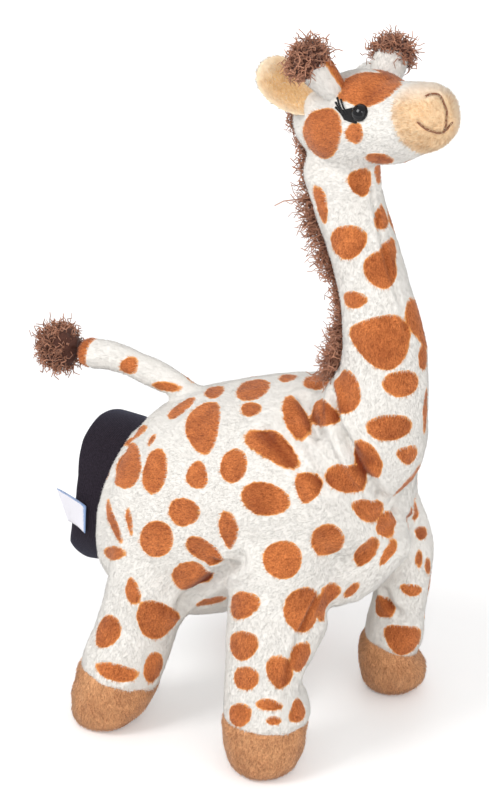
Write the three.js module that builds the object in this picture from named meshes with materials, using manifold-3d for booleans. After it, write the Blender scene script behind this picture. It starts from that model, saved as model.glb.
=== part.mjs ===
// Giraffe hand puppet: a spotted plush skin over a black glove lining, in millimetres.
// +X is forward, +Y is the giraffe's left and +Z is up. The four hooves stand on z = 0.
// Each sewn joint is drawn as a soft ball in a cup, so that the limb can swing on its seam.
import * as THREE from 'three';
import { mergeVertices } from 'three/addons/utils/BufferGeometryUtils.js';
import Module from 'manifold-3d';

const wasm = await Module();
wasm.setup();

// Cloth and gaps
const plush = 2.5;
const lining = 1.4;
const seam = 0.3;
const jointPlay = 0.5;
const threadRise = 0.8;

// Fineness of the facets
const torsoSides = 18;
const bagSides = 14;
const limbSides = 12;
const smallSides = 10;
const headSides = 14;
const coarseSides = 8;
const threadSides = 6;
const domeRings = 3;

// Torso: the barrel from the rear rim to the chest, as stations of [x, z, radius]
const torsoStations = [
  [-98, 84.5, 39.2],
  [-85.5, 86.5, 44.8],
  [-65.5, 93.5, 50.5],
  [-43, 106.5, 49],
  [-20, 118, 47.5],
  [-1, 127, 44.5],
  [14, 141, 34.5],
];
const chestDome = 18;
const belly = { half: 10, front: 23, top: 92 };
const rump = { x: torsoStations[0][0], z: torsoStations[0][1], radius: torsoStations[0][2] };

// Sleeve: the black cuff that stands out behind the rim
const sleeveOut = 18.5;
const sleeveFlare = -1.7;
const sleeveLift = 2;
const sleeveTuck = 8;
const sleeveWaist = 0.4;
const bagOpen = 5;

// Legs, from the hip to the foot: the foot's place, the radii and the swing
const legs = {
  front_right: { hip: [-7, -34.2, 78], foot: [-1.2, -50.9], top: 21, ankle: 18.4, hoof: 18.4, fingered: true },
  front_left: { hip: [10.8, 42, 78], foot: [7.3, 45.3], top: 14, ankle: 12.4, hoof: 16.6, fingered: true },
  rear_right: { hip: [-69, -35.6, 68], foot: [-86.5, -59.3], top: 17, ankle: 18, hoof: 17.6, fingered: false },
  rear_left: { hip: [-68, 33.5, 68], foot: [-60, 50], top: 17.5, ankle: 16, hoof: 17.2, fingered: false },
};
const hoofHeight = 25;
const hoofDome = 8;
const hoofToe = 1;
const hoofSwell = { down: 0.3, sole: 0.98 };
const floorFlat = 0.5;
const footRoom = 40;
const thighShape = { lean: 0.45, length: 44, fullness: 2.5, crown: 0.6 };
const legSwing = { back: -30, forward: 35 };

// Neck, as stations of [x, z, radius] above its pivot in the chest
const neckPivot = { x: 18.5, z: 147.5 };
const neckBall = 25.5;
const neckStations = [
  [22, 160, 24.5],
  [26, 178, 20.6],
  [25.7, 200, 18.6],
  [21.2, 221, 16.8],
  [14.5, 243, 15.2],
  [8, 261, 14.8],
  [5, 272.6, 15.4],
];
const neckSwing = { back: -8, forward: 35 };

// Where the fingers go: the palm, the knuckles, and the holes and stalls beyond them
const palm = [-34, 0, 108];
const knuckle = { x: -14, spread: 0.2, z: 110 };
const neckHole = 14;
const neckStallTop = 214;
const fingerHole = 9;
const holePlay = 1;
const stallDepth = 30;

// Head, in its own frame: x runs from the top of the neck along the face, z towards the crown
const headPivot = { x: 3, z: 282 };
const headBall = 15.2;
const headYaw = -13;
const headPitch = -20;
const headRoll = -8;
const headStations = [
  [-2, 13.5, 17.2],
  [9.6, 11.5, 20],
  [23.6, 12.5, 19.6],
  [34, 11.8, 16.6],
  [41, 11.3, 15.4],
  [49, 11.5, 14.7],
  [58, 11.4, 14.2],
];
const skullDome = 14.5;
const muzzleDome = 12;
const muzzleStart = 52;
const headNod = { up: -15, down: 25 };

// What is sewn to the head, on its left side, and mirrored to its right
const horn = { foot: [13.5, 10, 22], top: [15.5, 23, 38.5], radius: 6.8, tuft: 10.4 };
const ear = { foot: [-1.5, 13.5, 19], tip: [-11.5, 26, 36.5], facing: [0.8, 0.6, 0.1] };
const earDish = { length: 31, width: 19, depth: 6, wall: 2.2 };
const eye = { at: [32, 15, 16.5], facing: [0.25, 1, 0.15], radius: 4.2, proud: 1, stem: 1.6, inward: 7 };
const washer = { radius: 5, thick: 1.2, depth: 3.8 };
const lashRoot = [29.5, 17.5, 15];
const lashTips = [[22, 17.9, 22], [24.4, 17.5, 22.6], [21.8, 18.7, 19.8]];
const mouthLine = [[64.7, -6.8, 21.1], [66.8, 0, 21], [69.7, 0, 15], [69.5, 0, 9], [68.2, 0, 4.6]];
const smile = [[64.4, 11.9, 10.7], [66.2, 9, 7], [68, 3.6, 4.9], [68.2, 0, 4.6]];
const threadReach = 0.9;

// Mane, tail and label
const maneHalf = 3.2;
const maneRise = 7;
const maneFoot = 176;
const maneTop = 262;
const napeRise = 6;
const tailPivot = { x: -72, z: 144 };
const tailBall = 7;
const tailStations = [
  [-18, 1.5, 6.2],
  [-40, 3, 6],
  [-59, 5, 6.4],
];
const tailEnd = 3;
const tailTuft = { radius: 10.5, length: 26, root: 0.75, end: 0.7, crown: 6 };
const tailSwing = { down: -18, up: 70 };
const label = { at: [-108, -34, 92], towards: [-0.8, -0.6, 0.05], long: 12, wide: 15, thick: 0.8 };

// The middle of the giraffe's outline on the floor, which is put at the origin
const floorMiddle = [-45.7, -3.5];

const degrees = THREE.MathUtils.degToRad;
const far = 300;

// Turns a closed geometry into a solid, and a solid back into a geometry
function solidOf(geometry, matrix = new THREE.Matrix4()) {
  const bare = new THREE.BufferGeometry();
  bare.setAttribute('position', geometry.getAttribute('position').clone());
  bare.setIndex(geometry.index);
  const merged = mergeVertices(bare.applyMatrix4(matrix), 1e-4);
  return new wasm.Manifold(new wasm.Mesh({
    numProp: 3,
    vertProperties: merged.attributes.position.array,
    triVerts: new Uint32Array(merged.index.array),
  }));
}

function geometryOf(solid) {
  const { vertProperties, triVerts } = solid.getMesh();
  const geometry = new THREE.BufferGeometry();
  geometry.setAttribute('position', new THREE.BufferAttribute(vertProperties, 3));
  geometry.setIndex(new THREE.BufferAttribute(triVerts, 1));
  const flat = geometry.toNonIndexed();
  flat.computeVertexNormals();
  return flat;
}

const at = ([x, y, z]) => new THREE.Matrix4().makeTranslation(x, y, z);
const moved = (solid, matrix) => solid.transform(matrix.toArray());
const largest = (solid) => solid.decompose().sort((a, b) => b.volume() - a.volume())[0];

function block([x0, y0, z0], [x1, y1, z1]) {
  const middle = at([(x0 + x1) / 2, (y0 + y1) / 2, (z0 + z1) / 2]);
  return solidOf(new THREE.BoxGeometry(x1 - x0, y1 - y0, z1 - z0), middle);
}

function ball(radius, centre, sides = limbSides) {
  return solidOf(new THREE.SphereGeometry(radius, sides, Math.ceil(sides / 2)), at(centre));
}

// A cup for a ball, drawn wide enough that its flat facets stay clear of the ball
const cupRadius = (radius, sides = limbSides) => radius / Math.cos(Math.PI / sides) ** 2;
const cup = (radius, centre, sides = limbSides) => ball(cupRadius(radius, sides), centre, sides);

// A frame at a point whose z axis runs along a direction, with x kept as far forward as it can be
function aimed(point, direction) {
  const z = new THREE.Vector3(...direction).normalize();
  const y = new THREE.Vector3().crossVectors(z, new THREE.Vector3(1, 0, 0)).normalize();
  const x = new THREE.Vector3().crossVectors(y, z);
  return new THREE.Matrix4().makeBasis(x, y, z).setPosition(...point);
}

// A round bar between two points
function bar(from, to, radius, sides = smallSides) {
  const along = to.map((v, i) => v - from[i]);
  const length = Math.hypot(...along);
  const upright = new THREE.CylinderGeometry(radius, radius, length, sides).rotateX(Math.PI / 2);
  return solidOf(upright.translate(0, 0, length / 2), aimed(from, along));
}

// A stuffed form along stations of [x, z, radius], with rounded or open ends
// inset draws it smaller all over, and stretch lengthens a flat end
function stuffed(stations, { inset = 0, sides = limbSides, rings = 1, dome = [0, 0], stretch = [0, 0] } = {}) {
  const spine = new THREE.CatmullRomCurve3(stations.map(([x, z]) => new THREE.Vector3(x, 0, z)));
  const girth = new THREE.CatmullRomCurve3(stations.map(([, , r], i) => new THREE.Vector3(i, r, 0)));
  const steps = (stations.length - 1) * rings;
  const hoops = [];
  const addHoop = (t, shift, radius) => {
    const along = spine.getTangent(t).normalize();
    hoops.push({ centre: spine.getPoint(t).addScaledVector(along, shift), along, radius });
  };
  const radiusAt = (t) => girth.getPoint(t).y - inset;
  const addDome = (t, depth, sign) => {
    for (let i = 1; i < domeRings; i++) {
      const step = sign < 0 ? domeRings - i : i;
      const angle = (step / domeRings) * (Math.PI / 2);
      addHoop(t, sign * (depth - inset) * Math.sin(angle), radiusAt(t) * Math.cos(angle));
    }
  };
  if (dome[0]) addDome(0, dome[0], -1);
  if (stretch[0]) addHoop(0, -stretch[0], radiusAt(0));
  for (let i = 0; i <= steps; i++) addHoop(i / steps, 0, radiusAt(i / steps));
  if (stretch[1]) addHoop(1, stretch[1], radiusAt(1));
  if (dome[1]) addDome(1, dome[1], 1);
  const points = [];
  for (const { centre, along, radius } of hoops) {
    for (let k = 0; k < sides; k++) {
      const angle = (k / sides) * 2 * Math.PI;
      const up = radius * Math.sin(angle);
      points.push(centre.x - along.z * up, radius * Math.cos(angle), centre.z + along.x * up);
    }
  }
  const ends = [[0, -1], [1, 1]].map(([t, sign], i) => {
    const reach = dome[i] ? dome[i] - inset : stretch[i];
    return spine.getPoint(t).addScaledVector(spine.getTangent(t).normalize(), sign * reach);
  });
  for (const { x, z } of ends) points.push(x, 0, z);
  const tip = hoops.length * sides;
  const faces = [];
  for (let k = 0; k < sides; k++) {
    const next = (k + 1) % sides;
    for (let low = 0; low < tip - sides; low += sides) {
      const high = low + sides;
      faces.push(low + k, low + next, high + k, low + next, high + next, high + k);
    }
    faces.push(tip, next, k, tip + 1, tip - sides + k, tip - sides + next);
  }
  const geometry = new THREE.BufferGeometry();
  geometry.setAttribute('position', new THREE.Float32BufferAttribute(points, 3));
  geometry.setIndex(faces);
  return solidOf(geometry);
}

// The room that a limb sweeps as it swings about a lateral axis through its pivot
function swingRoom([x, , z], angle, swing, radius, [yLow, yHigh], reach = far / 2) {
  const ray = (turn) => new THREE.Vector2(Math.sin(turn), Math.cos(turn));
  const side = (turn) => new THREE.Vector2(Math.cos(turn), -Math.sin(turn));
  const [low, high] = [Math.min(...swing), Math.max(...swing)].map((turn) => degrees(angle + turn));
  const corners = [
    side(high).multiplyScalar(radius),
    side(high).multiplyScalar(radius).addScaledVector(ray(high), reach),
    side(low).multiplyScalar(-radius).addScaledVector(ray(low), reach),
    side(low).multiplyScalar(-radius),
  ];
  const outline = new THREE.Shape(corners.map((corner) => new THREE.Vector2(corner.x + x, corner.y + z)));
  const depth = yHigh - yLow;
  const upright = new THREE.ExtrudeGeometry(outline, { depth, bevelEnabled: false }).rotateX(Math.PI / 2);
  return solidOf(upright.translate(0, yHigh, 0));
}

// Finishes
const cloth = (color, roughness = 0.95) => new THREE.MeshStandardMaterial({ color, roughness, metalness: 0 });
const spottedPlush = cloth(0xf4efe6);
const hoofPlush = cloth(0xb9794f);
const creamPlush = cloth(0xf0cfa0);
const shaggyPlush = cloth(0x6b4638);
const blackJersey = cloth(0x1d1a1e);
const softStuffing = cloth(0xf7f7f4);
const glossyPlastic = cloth(0x0c0a10, 0.08);
const washerPlastic = cloth(0xe8e6de, 0.5);
const brownThread = cloth(0x4a2c24, 0.7);
const blackThread = cloth(0x141016, 0.7);
const whiteSatin = cloth(0xf2f2f6, 0.6);

const giraffe = new THREE.Group();

function piece(name, solid, material, parent = giraffe) {
  const mesh = new THREE.Mesh(geometryOf(solid), material);
  mesh.name = name;
  parent.add(mesh);
}

function groupAt(matrix) {
  const group = new THREE.Group();
  group.applyMatrix4(matrix);
  group.updateMatrix();
  giraffe.add(group);
  return group;
}

const rightHalf = (solid) => solid.intersect(block([-far, -far, -far], [far, -seam / 2, far]));
const leftHalf = (solid) => solid.intersect(block([-far, seam / 2, -far], [far, far, far]));
const above = (z) => block([-far, -far, z], [far, far, far]);
const below = (z) => block([-far, -far, -far], [far, far, z]);
const behind = (x) => block([-far, -far, -far], [x, far, far]);
const ahead = (x) => block([x, -far, -far], [far, far, far]);

// Where the fingers pass from the palm into the neck and the front legs
const neckCentre = [neckPivot.x, 0, neckPivot.z];
const neckWay = (radius) => bar(neckCentre, palm, radius);
const legWay = ({ hip }, radius) => bar(hip, [knuckle.x, hip[1] * knuckle.spread, knuckle.z], radius);

// Legs: a plush tube with a ball at the hip, a hoof cup, and stuffing or a finger stall inside
function buildLeg(name, leg) {
  const { hip, foot, top, ankle, hoof, fingered } = leg;
  const lean = Math.atan2(Math.hypot(foot[0] - hip[0], foot[1] - hip[1]), hip[2]);
  const domeDrop = Math.hypot(hoof * Math.sin(lean), hoofDome * Math.cos(lean));
  const length = (hip[2] - domeDrop + floorFlat) / Math.cos(lean);
  const frame = aimed(hip, [hip[0] - foot[0], hip[1] - foot[1], hip[2]]);
  const group = groupAt(frame);
  const ring = hoofDome + length - hoofHeight;
  const form = (inset) => stuffed([
    [0, 0, top],
    [0, -ring / 2, (top + ankle) / 2],
    [0, -ring, ankle],
    [hoofToe / 2, -ring - hoofHeight * hoofSwell.down, hoof],
    [hoofToe, -length, hoof * hoofSwell.sole],
  ], { inset, dome: [top, hoofDome] });
  const floor = moved(below(0), frame.clone().invert());
  const outer = form(0).subtract(floor);
  const inner = form(plush);
  const wall = outer.subtract(inner);
  let skin = wall.subtract(below(-ring + seam / 2));
  let core = form(plush + seam).subtract(floor);
  if (fingered) {
    const way = moved(legWay(leg, fingerHole), frame.clone().invert());
    const fold = -stallDepth;
    const hollow = form(plush + seam + lining).intersect(above(fold + lining));
    const stall = core.intersect(above(fold)).subtract(hollow);
    skin = skin.subtract(way);
    piece(`${name}_finger_stall`, largest(stall.subtract(way)), blackJersey, group);
    core = core.subtract(above(fold - seam));
  }
  piece(`${name}_leg_skin`, largest(skin), spottedPlush, group);
  piece(`${name}_hoof`, largest(wall.subtract(above(-ring - seam / 2))), hoofPlush, group);
  piece(`${name}_leg_stuffing`, core, softStuffing, group);
}

for (const [name, leg] of Object.entries(legs)) buildLeg(name, leg);

function legRoom({ hip, foot, top }, extra, sides) {
  const reach = top + jointPlay + extra;
  const angle = 180 - THREE.MathUtils.radToDeg(Math.atan2(foot[0] - hip[0], hip[2]));
  const inner = Math.abs(hip[1]) - reach;
  const span = hip[1] > 0 ? [inner, far] : [-far, -inner];
  const swing = [-legSwing.back, -legSwing.forward];
  return cup(reach, hip, sides).add(swingRoom(hip, angle, swing, reach, span, hip[2] + footRoom));
}

// Neck: two plush sides, a finger stall below and stuffing above
const neckForm = (inset) => stuffed(
  [[neckPivot.x, neckPivot.z, neckBall], ...neckStations, [headPivot.x, headPivot.z, headBall]],
  { inset, dome: [neckBall, headBall] });
const neckSkin = neckForm(0).subtract(neckForm(plush)).subtract(neckWay(neckHole));
const neckInside = neckForm(plush + seam);
const neckStall = neckInside.subtract(above(neckStallTop))
  .subtract(neckForm(plush + seam + lining).subtract(above(neckStallTop - lining)))
  .subtract(neckWay(neckHole));
const mane = neckForm(-seam - maneRise).subtract(neckForm(-seam))
  .intersect(block([-far, -maneHalf, maneFoot], [headPivot.x, maneHalf, maneTop]));
piece('neck_side_right', rightHalf(neckSkin), spottedPlush);
piece('neck_side_left', leftHalf(neckSkin), spottedPlush);
piece('neck_finger_stall', neckStall, blackJersey);
piece('neck_stuffing', neckInside.intersect(above(neckStallTop + seam)), softStuffing);
piece('mane', largest(mane), shaggyPlush);

function neckRoom(extra, sides) {
  const reach = neckBall + jointPlay + extra;
  const lean = Math.atan2(neckStations[1][0] - neckPivot.x, neckStations[1][1] - neckPivot.z);
  const swing = [neckSwing.back, neckSwing.forward];
  const room = swingRoom(neckCentre, THREE.MathUtils.radToDeg(lean), swing, reach, [-reach, reach]);
  return cup(reach, neckCentre, sides).add(room);
}

// Tail: a stuffed tube with a shaggy end
const tailRoot = [tailPivot.x, 0, tailPivot.z];
const tailForm = (inset) => stuffed([[0, 0, tailBall], ...tailStations],
  { inset, sides: smallSides, dome: [tailBall, tailEnd] });
const [tuftX, tuftZ] = tailStations[tailStations.length - 1];
const tuft = stuffed([
  [tuftX + tailEnd, tuftZ, tailTuft.radius * tailTuft.root],
  [tuftX - tailTuft.length / 3, tuftZ, tailTuft.radius],
  [tuftX - tailTuft.length + tailTuft.crown, tuftZ, tailTuft.radius * tailTuft.end],
], { sides: smallSides, dome: [tailEnd, tailTuft.crown] });
const tailGroup = groupAt(at(tailRoot));
piece('tail', tailForm(0), spottedPlush, tailGroup);
piece('tail_tuft', tuft.subtract(tailForm(-seam)), shaggyPlush, tailGroup);

function tailRoom(extra, sides) {
  const reach = tailBall + jointPlay + extra;
  const swing = [tailSwing.down, tailSwing.up];
  return cup(reach, tailRoot, sides).add(swingRoom(tailRoot, -90, swing, reach, [-reach, reach]));
}

// Torso: barrel, shoulders and thighs, hollow for the hand, with a cup for each limb
const barrel = stuffed(torsoStations, { sides: torsoSides, dome: [0, chestDome] });
const legList = Object.values(legs);
function thigh({ hip, top }) {
  const reach = cupRadius(top + jointPlay) + plush;
  const { lean, length, fullness, crown } = thighShape;
  const stations = [[0, 0, reach], [0, length / 2, reach + fullness], [0, length, reach]];
  return moved(stuffed(stations, { dome: [reach, reach * crown] }), aimed(hip, [0, -hip[1] * lean, length]));
}
const rooms = (extra, sides) => legList.map((leg) => legRoom(leg, extra, sides))
  .reduce((all, room) => all.add(room), neckRoom(extra, sides).add(tailRoom(extra, sides)));
const ways = legList.filter(({ fingered }) => fingered).map((leg) => legWay(leg, fingerHole + holePlay))
  .reduce((all, way) => all.add(way), neckWay(neckHole));
const bagWall = plush + seam;
const bagStations = [
  [rump.x - sleeveOut, rump.z + sleeveLift, rump.radius + sleeveFlare],
  [rump.x - sleeveOut * sleeveWaist, rump.z + sleeveLift * sleeveWaist, rump.radius],
  ...torsoStations.filter((station, i) => i % 2 === 0),
].map(([x, z, radius]) => [x, z, radius - bagWall]);
const bag = (inset, stretch = 0) => stuffed(bagStations,
  { inset, sides: bagSides, dome: [0, chestDome - bagWall], stretch: [stretch, 0] });
const outside = legList.map(thigh).reduce((all, form) => all.add(form), barrel);
const hollow = bag(-seam).subtract(rooms(plush, coarseSides));
const shell = outside.subtract(hollow).subtract(rooms(0)).subtract(ways);
const bellyRoom = (grow) => block([-far, -belly.half - grow, 0],
  [belly.front + grow, belly.half + grow, belly.top + grow]);
const flanks = shell.subtract(bellyRoom(seam));
piece('body_side_right', largest(rightHalf(flanks)), spottedPlush);
piece('body_side_left', largest(leftHalf(flanks)), spottedPlush);
piece('belly_panel', largest(shell.intersect(bellyRoom(0))), spottedPlush);

// Glove lining: the palm's bag, and the sleeve that shows behind
const glove = bag(0).subtract(rooms(plush + seam, coarseSides))
  .subtract(bag(lining, bagOpen).subtract(rooms(plush + seam + lining, coarseSides))).subtract(ways);
const tuck = rump.x + sleeveTuck;
piece('palm_lining', largest(glove.intersect(ahead(tuck + seam))), blackJersey);
piece('sleeve', largest(glove.intersect(behind(tuck))), blackJersey);
const labelFrame = aimed(label.at, label.towards);
const labelHalf = [label.thick / 2, label.wide / 2, label.long];
const labelTab = block(labelHalf.map((v) => -v), labelHalf);
piece('sewn_label', largest(moved(labelTab, labelFrame).subtract(bag(-seam))), whiteSatin);

// Head: two plush sides, a muzzle cup and stuffing, over the ball at the top of the neck
const headTurn = new THREE.Euler(degrees(headRoll), degrees(headPitch), degrees(headYaw), 'ZYX');
const headFrame = new THREE.Matrix4().makeRotationFromEuler(headTurn).setPosition(headPivot.x, 0, headPivot.z);
const head = groupAt(headFrame);
const headForm = (inset) => stuffed(headStations, { inset, sides: headSides, dome: [skullDome, muzzleDome] });
function neckTopRoom() {
  const reach = headBall + jointPlay;
  const [x, z] = neckStations[neckStations.length - 2];
  const angle = THREE.MathUtils.radToDeg(Math.atan2(x - headPivot.x, z - headPivot.z));
  const centre = [headPivot.x, 0, headPivot.z];
  const room = swingRoom(centre, angle, [-headNod.up, -headNod.down], reach, [-far, far], far / 4);
  return moved(cup(reach, centre, headSides).add(room), headFrame.clone().invert());
}
const socket = neckTopRoom();
const mirrored = (point, side) => [point[0], side * point[1], point[2]];
const along = (from, direction, distance) => {
  const unit = new THREE.Vector3(...direction).normalize();
  return unit.multiplyScalar(distance).add(new THREE.Vector3(...from)).toArray();
};
const eyeBar = (side, from, to, radius) => {
  const [point, facing] = [mirrored(eye.at, side), mirrored(eye.facing, side)];
  return bar(along(point, facing, from), along(point, facing, to), radius);
};
const bothSides = (make) => make(-1).add(make(1));
const stemWays = bothSides((side) => eyeBar(side, -eye.inward - seam, eye.radius, eye.stem + seam));
const washerRooms = bothSides((side) => eyeBar(side, -washer.depth - washer.thick - seam, -washer.depth + seam,
  washer.radius + seam));
const onHead = headForm(-seam);
const headWall = headForm(0).subtract(headForm(plush)).subtract(socket).subtract(stemWays);
const face = headWall.intersect(behind(muzzleStart - seam / 2));
piece('head_side_right', largest(rightHalf(face)), spottedPlush, head);
piece('head_side_left', largest(leftHalf(face)), spottedPlush, head);
piece('muzzle_skin', largest(headWall.intersect(ahead(muzzleStart + seam / 2))), creamPlush, head);
const headCore = headForm(plush + seam).subtract(socket).subtract(stemWays).subtract(washerRooms);
piece('head_stuffing', largest(headCore), softStuffing, head);

// Horns, ears and eyes, on both sides of the head
const dish = (inset) => solidOf(new THREE.SphereGeometry(1, smallSides, smallSides / 2 + 1).rotateX(Math.PI / 2)
  .scale(earDish.length / 2 - inset, earDish.width / 2 - inset, earDish.depth - inset));
const thread = (points, radius) => points.slice(1).map((point, i) => bar(points[i], point, radius, threadSides))
  .reduce((all, stretch) => all.add(stretch));
const raised = headForm(-seam - threadRise).subtract(onHead);
for (const [flank, side] of [['right', -1], ['left', 1]]) {
  const [hornFoot, hornTop] = [mirrored(horn.foot, side), mirrored(horn.top, side)];
  piece(`horn_${flank}`, largest(bar(hornFoot, hornTop, horn.radius).subtract(onHead)), spottedPlush, head);
  const stub = bar(hornFoot, along(hornTop, [0, 0, 1], seam), horn.radius + seam);
  const cap = ball(horn.tuft, hornTop, smallSides).subtract(stub);
  piece(`horn_tuft_${flank}`, largest(cap), shaggyPlush, head);

  const [foot, tip] = [ear.foot, ear.tip].map((point) => new THREE.Vector3(...mirrored(point, side)));
  const lengthwise = tip.clone().sub(foot).normalize();
  const inward = new THREE.Vector3(...mirrored(ear.facing, side)).cross(lengthwise).normalize();
  const outward = lengthwise.clone().cross(inward);
  const middle = foot.clone().addScaledVector(lengthwise, earDish.length / 2);
  const earFrame = new THREE.Matrix4().makeBasis(lengthwise, inward, outward).setPosition(middle);
  const back = dish(0).subtract(dish(earDish.wall)).intersect(below(0));
  const inside = dish(earDish.wall + seam).subtract(dish(earDish.wall + seam + lining)).intersect(below(0));
  piece(`ear_back_${flank}`, largest(moved(back, earFrame).subtract(onHead)), creamPlush, head);
  piece(`ear_lining_${flank}`, largest(moved(inside, earFrame).subtract(onHead)), creamPlush, head);

  const [eyeAt, facing] = [mirrored(eye.at, side), mirrored(eye.facing, side)];
  const dome = ball(eye.radius, along(eyeAt, facing, eye.proud - eye.radius / 2), smallSides).subtract(onHead);
  piece(`eye_${flank}`, largest(dome.add(eyeBar(side, -eye.inward, eye.proud, eye.stem))), glossyPlastic, head);
  const disc = eyeBar(side, -washer.depth - washer.thick, -washer.depth, washer.radius);
  piece(`eye_washer_${flank}`, disc.subtract(stemWays), washerPlastic, head);
  const lashes = lashTips.map((lashTip) => [lashRoot, lashTip].map((point) => mirrored(point, side)))
    .map((hair) => thread(hair, threadReach)).reduce((all, hair) => all.add(hair));
  const clear = lashes.subtract(ball(eye.radius + seam, eyeAt));
  piece(`eyelash_${flank}`, largest(raised.intersect(clear)), blackThread, head);
}
const stitches = thread(mouthLine, threadReach).add(thread(smile, threadReach))
  .add(thread(smile.map((point) => mirrored(point, -1)), threadReach));
piece('mouth_thread', largest(stitches.intersect(raised)), brownThread, head);

// Mane: the nape's strip rides on the head, above the strip on the neck
const nape = headForm(-seam - napeRise).subtract(onHead)
  .intersect(block([-far, -maneHalf, -2], [headStations[0][0], maneHalf, far])).subtract(socket);
piece('mane_nape', largest(nape), shaggyPlush, head);

giraffe.position.set(-floorMiddle[0], -floorMiddle[1], 0);

export default giraffe;
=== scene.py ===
import math

import bpy
import numpy as np
from mathutils import Euler, Matrix, Vector, noise
from mathutils.bvhtree import BVHTree


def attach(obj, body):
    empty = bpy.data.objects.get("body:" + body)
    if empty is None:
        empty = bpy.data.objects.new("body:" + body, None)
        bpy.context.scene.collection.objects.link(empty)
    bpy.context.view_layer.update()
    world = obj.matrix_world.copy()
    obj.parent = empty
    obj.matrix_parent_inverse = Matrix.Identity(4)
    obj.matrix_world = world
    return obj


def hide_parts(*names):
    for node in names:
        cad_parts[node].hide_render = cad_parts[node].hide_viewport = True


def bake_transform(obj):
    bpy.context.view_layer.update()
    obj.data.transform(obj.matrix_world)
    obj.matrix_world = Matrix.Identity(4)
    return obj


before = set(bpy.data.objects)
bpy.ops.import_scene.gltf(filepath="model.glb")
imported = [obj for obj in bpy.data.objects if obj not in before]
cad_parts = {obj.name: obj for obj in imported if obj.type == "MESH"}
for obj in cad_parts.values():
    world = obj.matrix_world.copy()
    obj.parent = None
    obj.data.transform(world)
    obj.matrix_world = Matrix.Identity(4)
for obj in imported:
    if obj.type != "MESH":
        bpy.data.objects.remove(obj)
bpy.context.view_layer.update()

# Camera
# It stands ahead of the puppet's right shoulder and looks down at it, as in the photograph.
MM = 0.001
floor_middle = Vector((45.7, 3.5, 0))


def place(x, y, z):
    return (Vector((x, y, z)) + floor_middle) * MM


turn, tip = math.radians(35), math.radians(27)
right = Vector((math.cos(turn), math.sin(turn), 0))
upward = Vector((-math.sin(turn) * math.sin(tip), math.cos(turn) * math.sin(tip), math.cos(tip)))
lens = bpy.data.cameras.new("camera")
lens.lens = 180
lens.clip_start, lens.clip_end = 0.1, 20
camera = bpy.data.objects.new("camera", lens)
camera.matrix_world = Matrix.LocRotScale(
    place(852.0, -1280.7, 946.9), Matrix((right, upward, right.cross(upward))).transposed().to_quaternion(), None)
bpy.context.scene.collection.objects.link(camera)
bpy.context.scene.camera = camera

# Plush skin, in one
# Short white pile cloth over the torso, neck, head and legs. The forms are swept along their
# middles, joined, and eased into each other where the cloth runs on from one to the next.


def only(*chosen):
    bpy.ops.object.select_all(action="DESELECT")
    for piece in chosen:
        piece.select_set(True)
    bpy.context.view_layer.objects.active = chosen[0]


def vectors(items, field):
    found = np.empty(len(items) * 3, np.float32)
    items.foreach_get(field, found)
    return found.reshape(-1, 3)


def places_of(mesh):
    """The vertices in millimetres, in the frame that the sizes are given in."""
    return vectors(mesh.vertices, "co").astype(float) / MM - np.array(floor_middle)


def put_back(mesh, places):
    mesh.vertices.foreach_set("co", ((places + np.array(floor_middle)) * MM).astype(np.float32).ravel())
    mesh.update()


def normals_of(mesh):
    return vectors(mesh.vertex_normals, "vector").astype(float)


def unit(ways, least=0):
    return ways / (np.linalg.norm(ways, axis=-1, keepdims=True) + least)


def marked(mesh, name, values):
    """Gives each vertex a value that the materials and the pile read."""
    values = np.asarray(values, np.float32).ravel()
    mesh.attributes.new(name, "FLOAT", "POINT").data.foreach_set("value", values)


def surface_of(piece, places):
    faces = [tuple(face.vertices) for face in piece.data.polygons]
    return BVHTree.FromPolygons([tuple(point) for point in places], faces)


def shown(name, mesh):
    made = bpy.data.objects.new(name, mesh)
    bpy.context.scene.collection.objects.link(made)
    return made


def ball(name, sides, rings):
    """A sphere of radius 1, whose faces come in the same order on each run, as the added one's do not."""
    points = [(0, 0, 1)]
    for level in np.arange(1, rings) * math.pi / rings:
        points += [(math.sin(level) * math.cos(angle), math.sin(level) * math.sin(angle), math.cos(level))
                   for angle in np.arange(sides) * 2 * math.pi / sides]
    last = len(points)
    points.append((0, 0, -1))
    next_to = [*range(1, sides), 0]
    faces = [(0, 1 + k, 1 + next_to[k]) for k in range(sides)]
    for start in range(1, last - sides, sides):
        faces += [(start + k, start + sides + k, start + sides + next_to[k], start + next_to[k])
                  for k in range(sides)]
    faces += [(last, last - sides + next_to[k], last - sides + k) for k in range(sides)]
    mesh = bpy.data.meshes.new(name)
    mesh.from_pydata(points, [], faces)
    made = shown(name, mesh)
    only(made)
    return made


def primitive(make, name, **sizes):
    bpy.ops.object.select_all(action="DESELECT")
    make(**sizes)
    bpy.context.object.name = name
    return bpy.context.object


def joined(name, forms):
    only(*forms)
    bpy.ops.object.join()
    bpy.context.object.name = name
    return bpy.context.object


def faced_out():
    """Turns the faces of the active piece outwards and smooths its shading."""
    bpy.ops.object.mode_set(mode="EDIT")
    bpy.ops.mesh.normals_make_consistent(inside=False)
    bpy.ops.object.mode_set(mode="OBJECT")
    bpy.ops.object.shade_smooth()


def through(stations, steps=4):
    """A smooth line through the stations of x, y, z and radius."""
    knots = np.array(stations, float)
    knots = np.vstack([2 * knots[0] - knots[1], knots, 2 * knots[-1] - knots[-2]])
    found = []
    for a, b, c, d in zip(knots, knots[1:], knots[2:], knots[3:]):
        for t in np.arange(steps) / steps:
            bend = (c - a) * t + (2 * a - 5 * b + 4 * c - d) * t**2 + (3 * b - a - 3 * c + d) * t**3
            found.append(b + bend / 2)
    return np.array(found + [knots[-2]])


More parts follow.
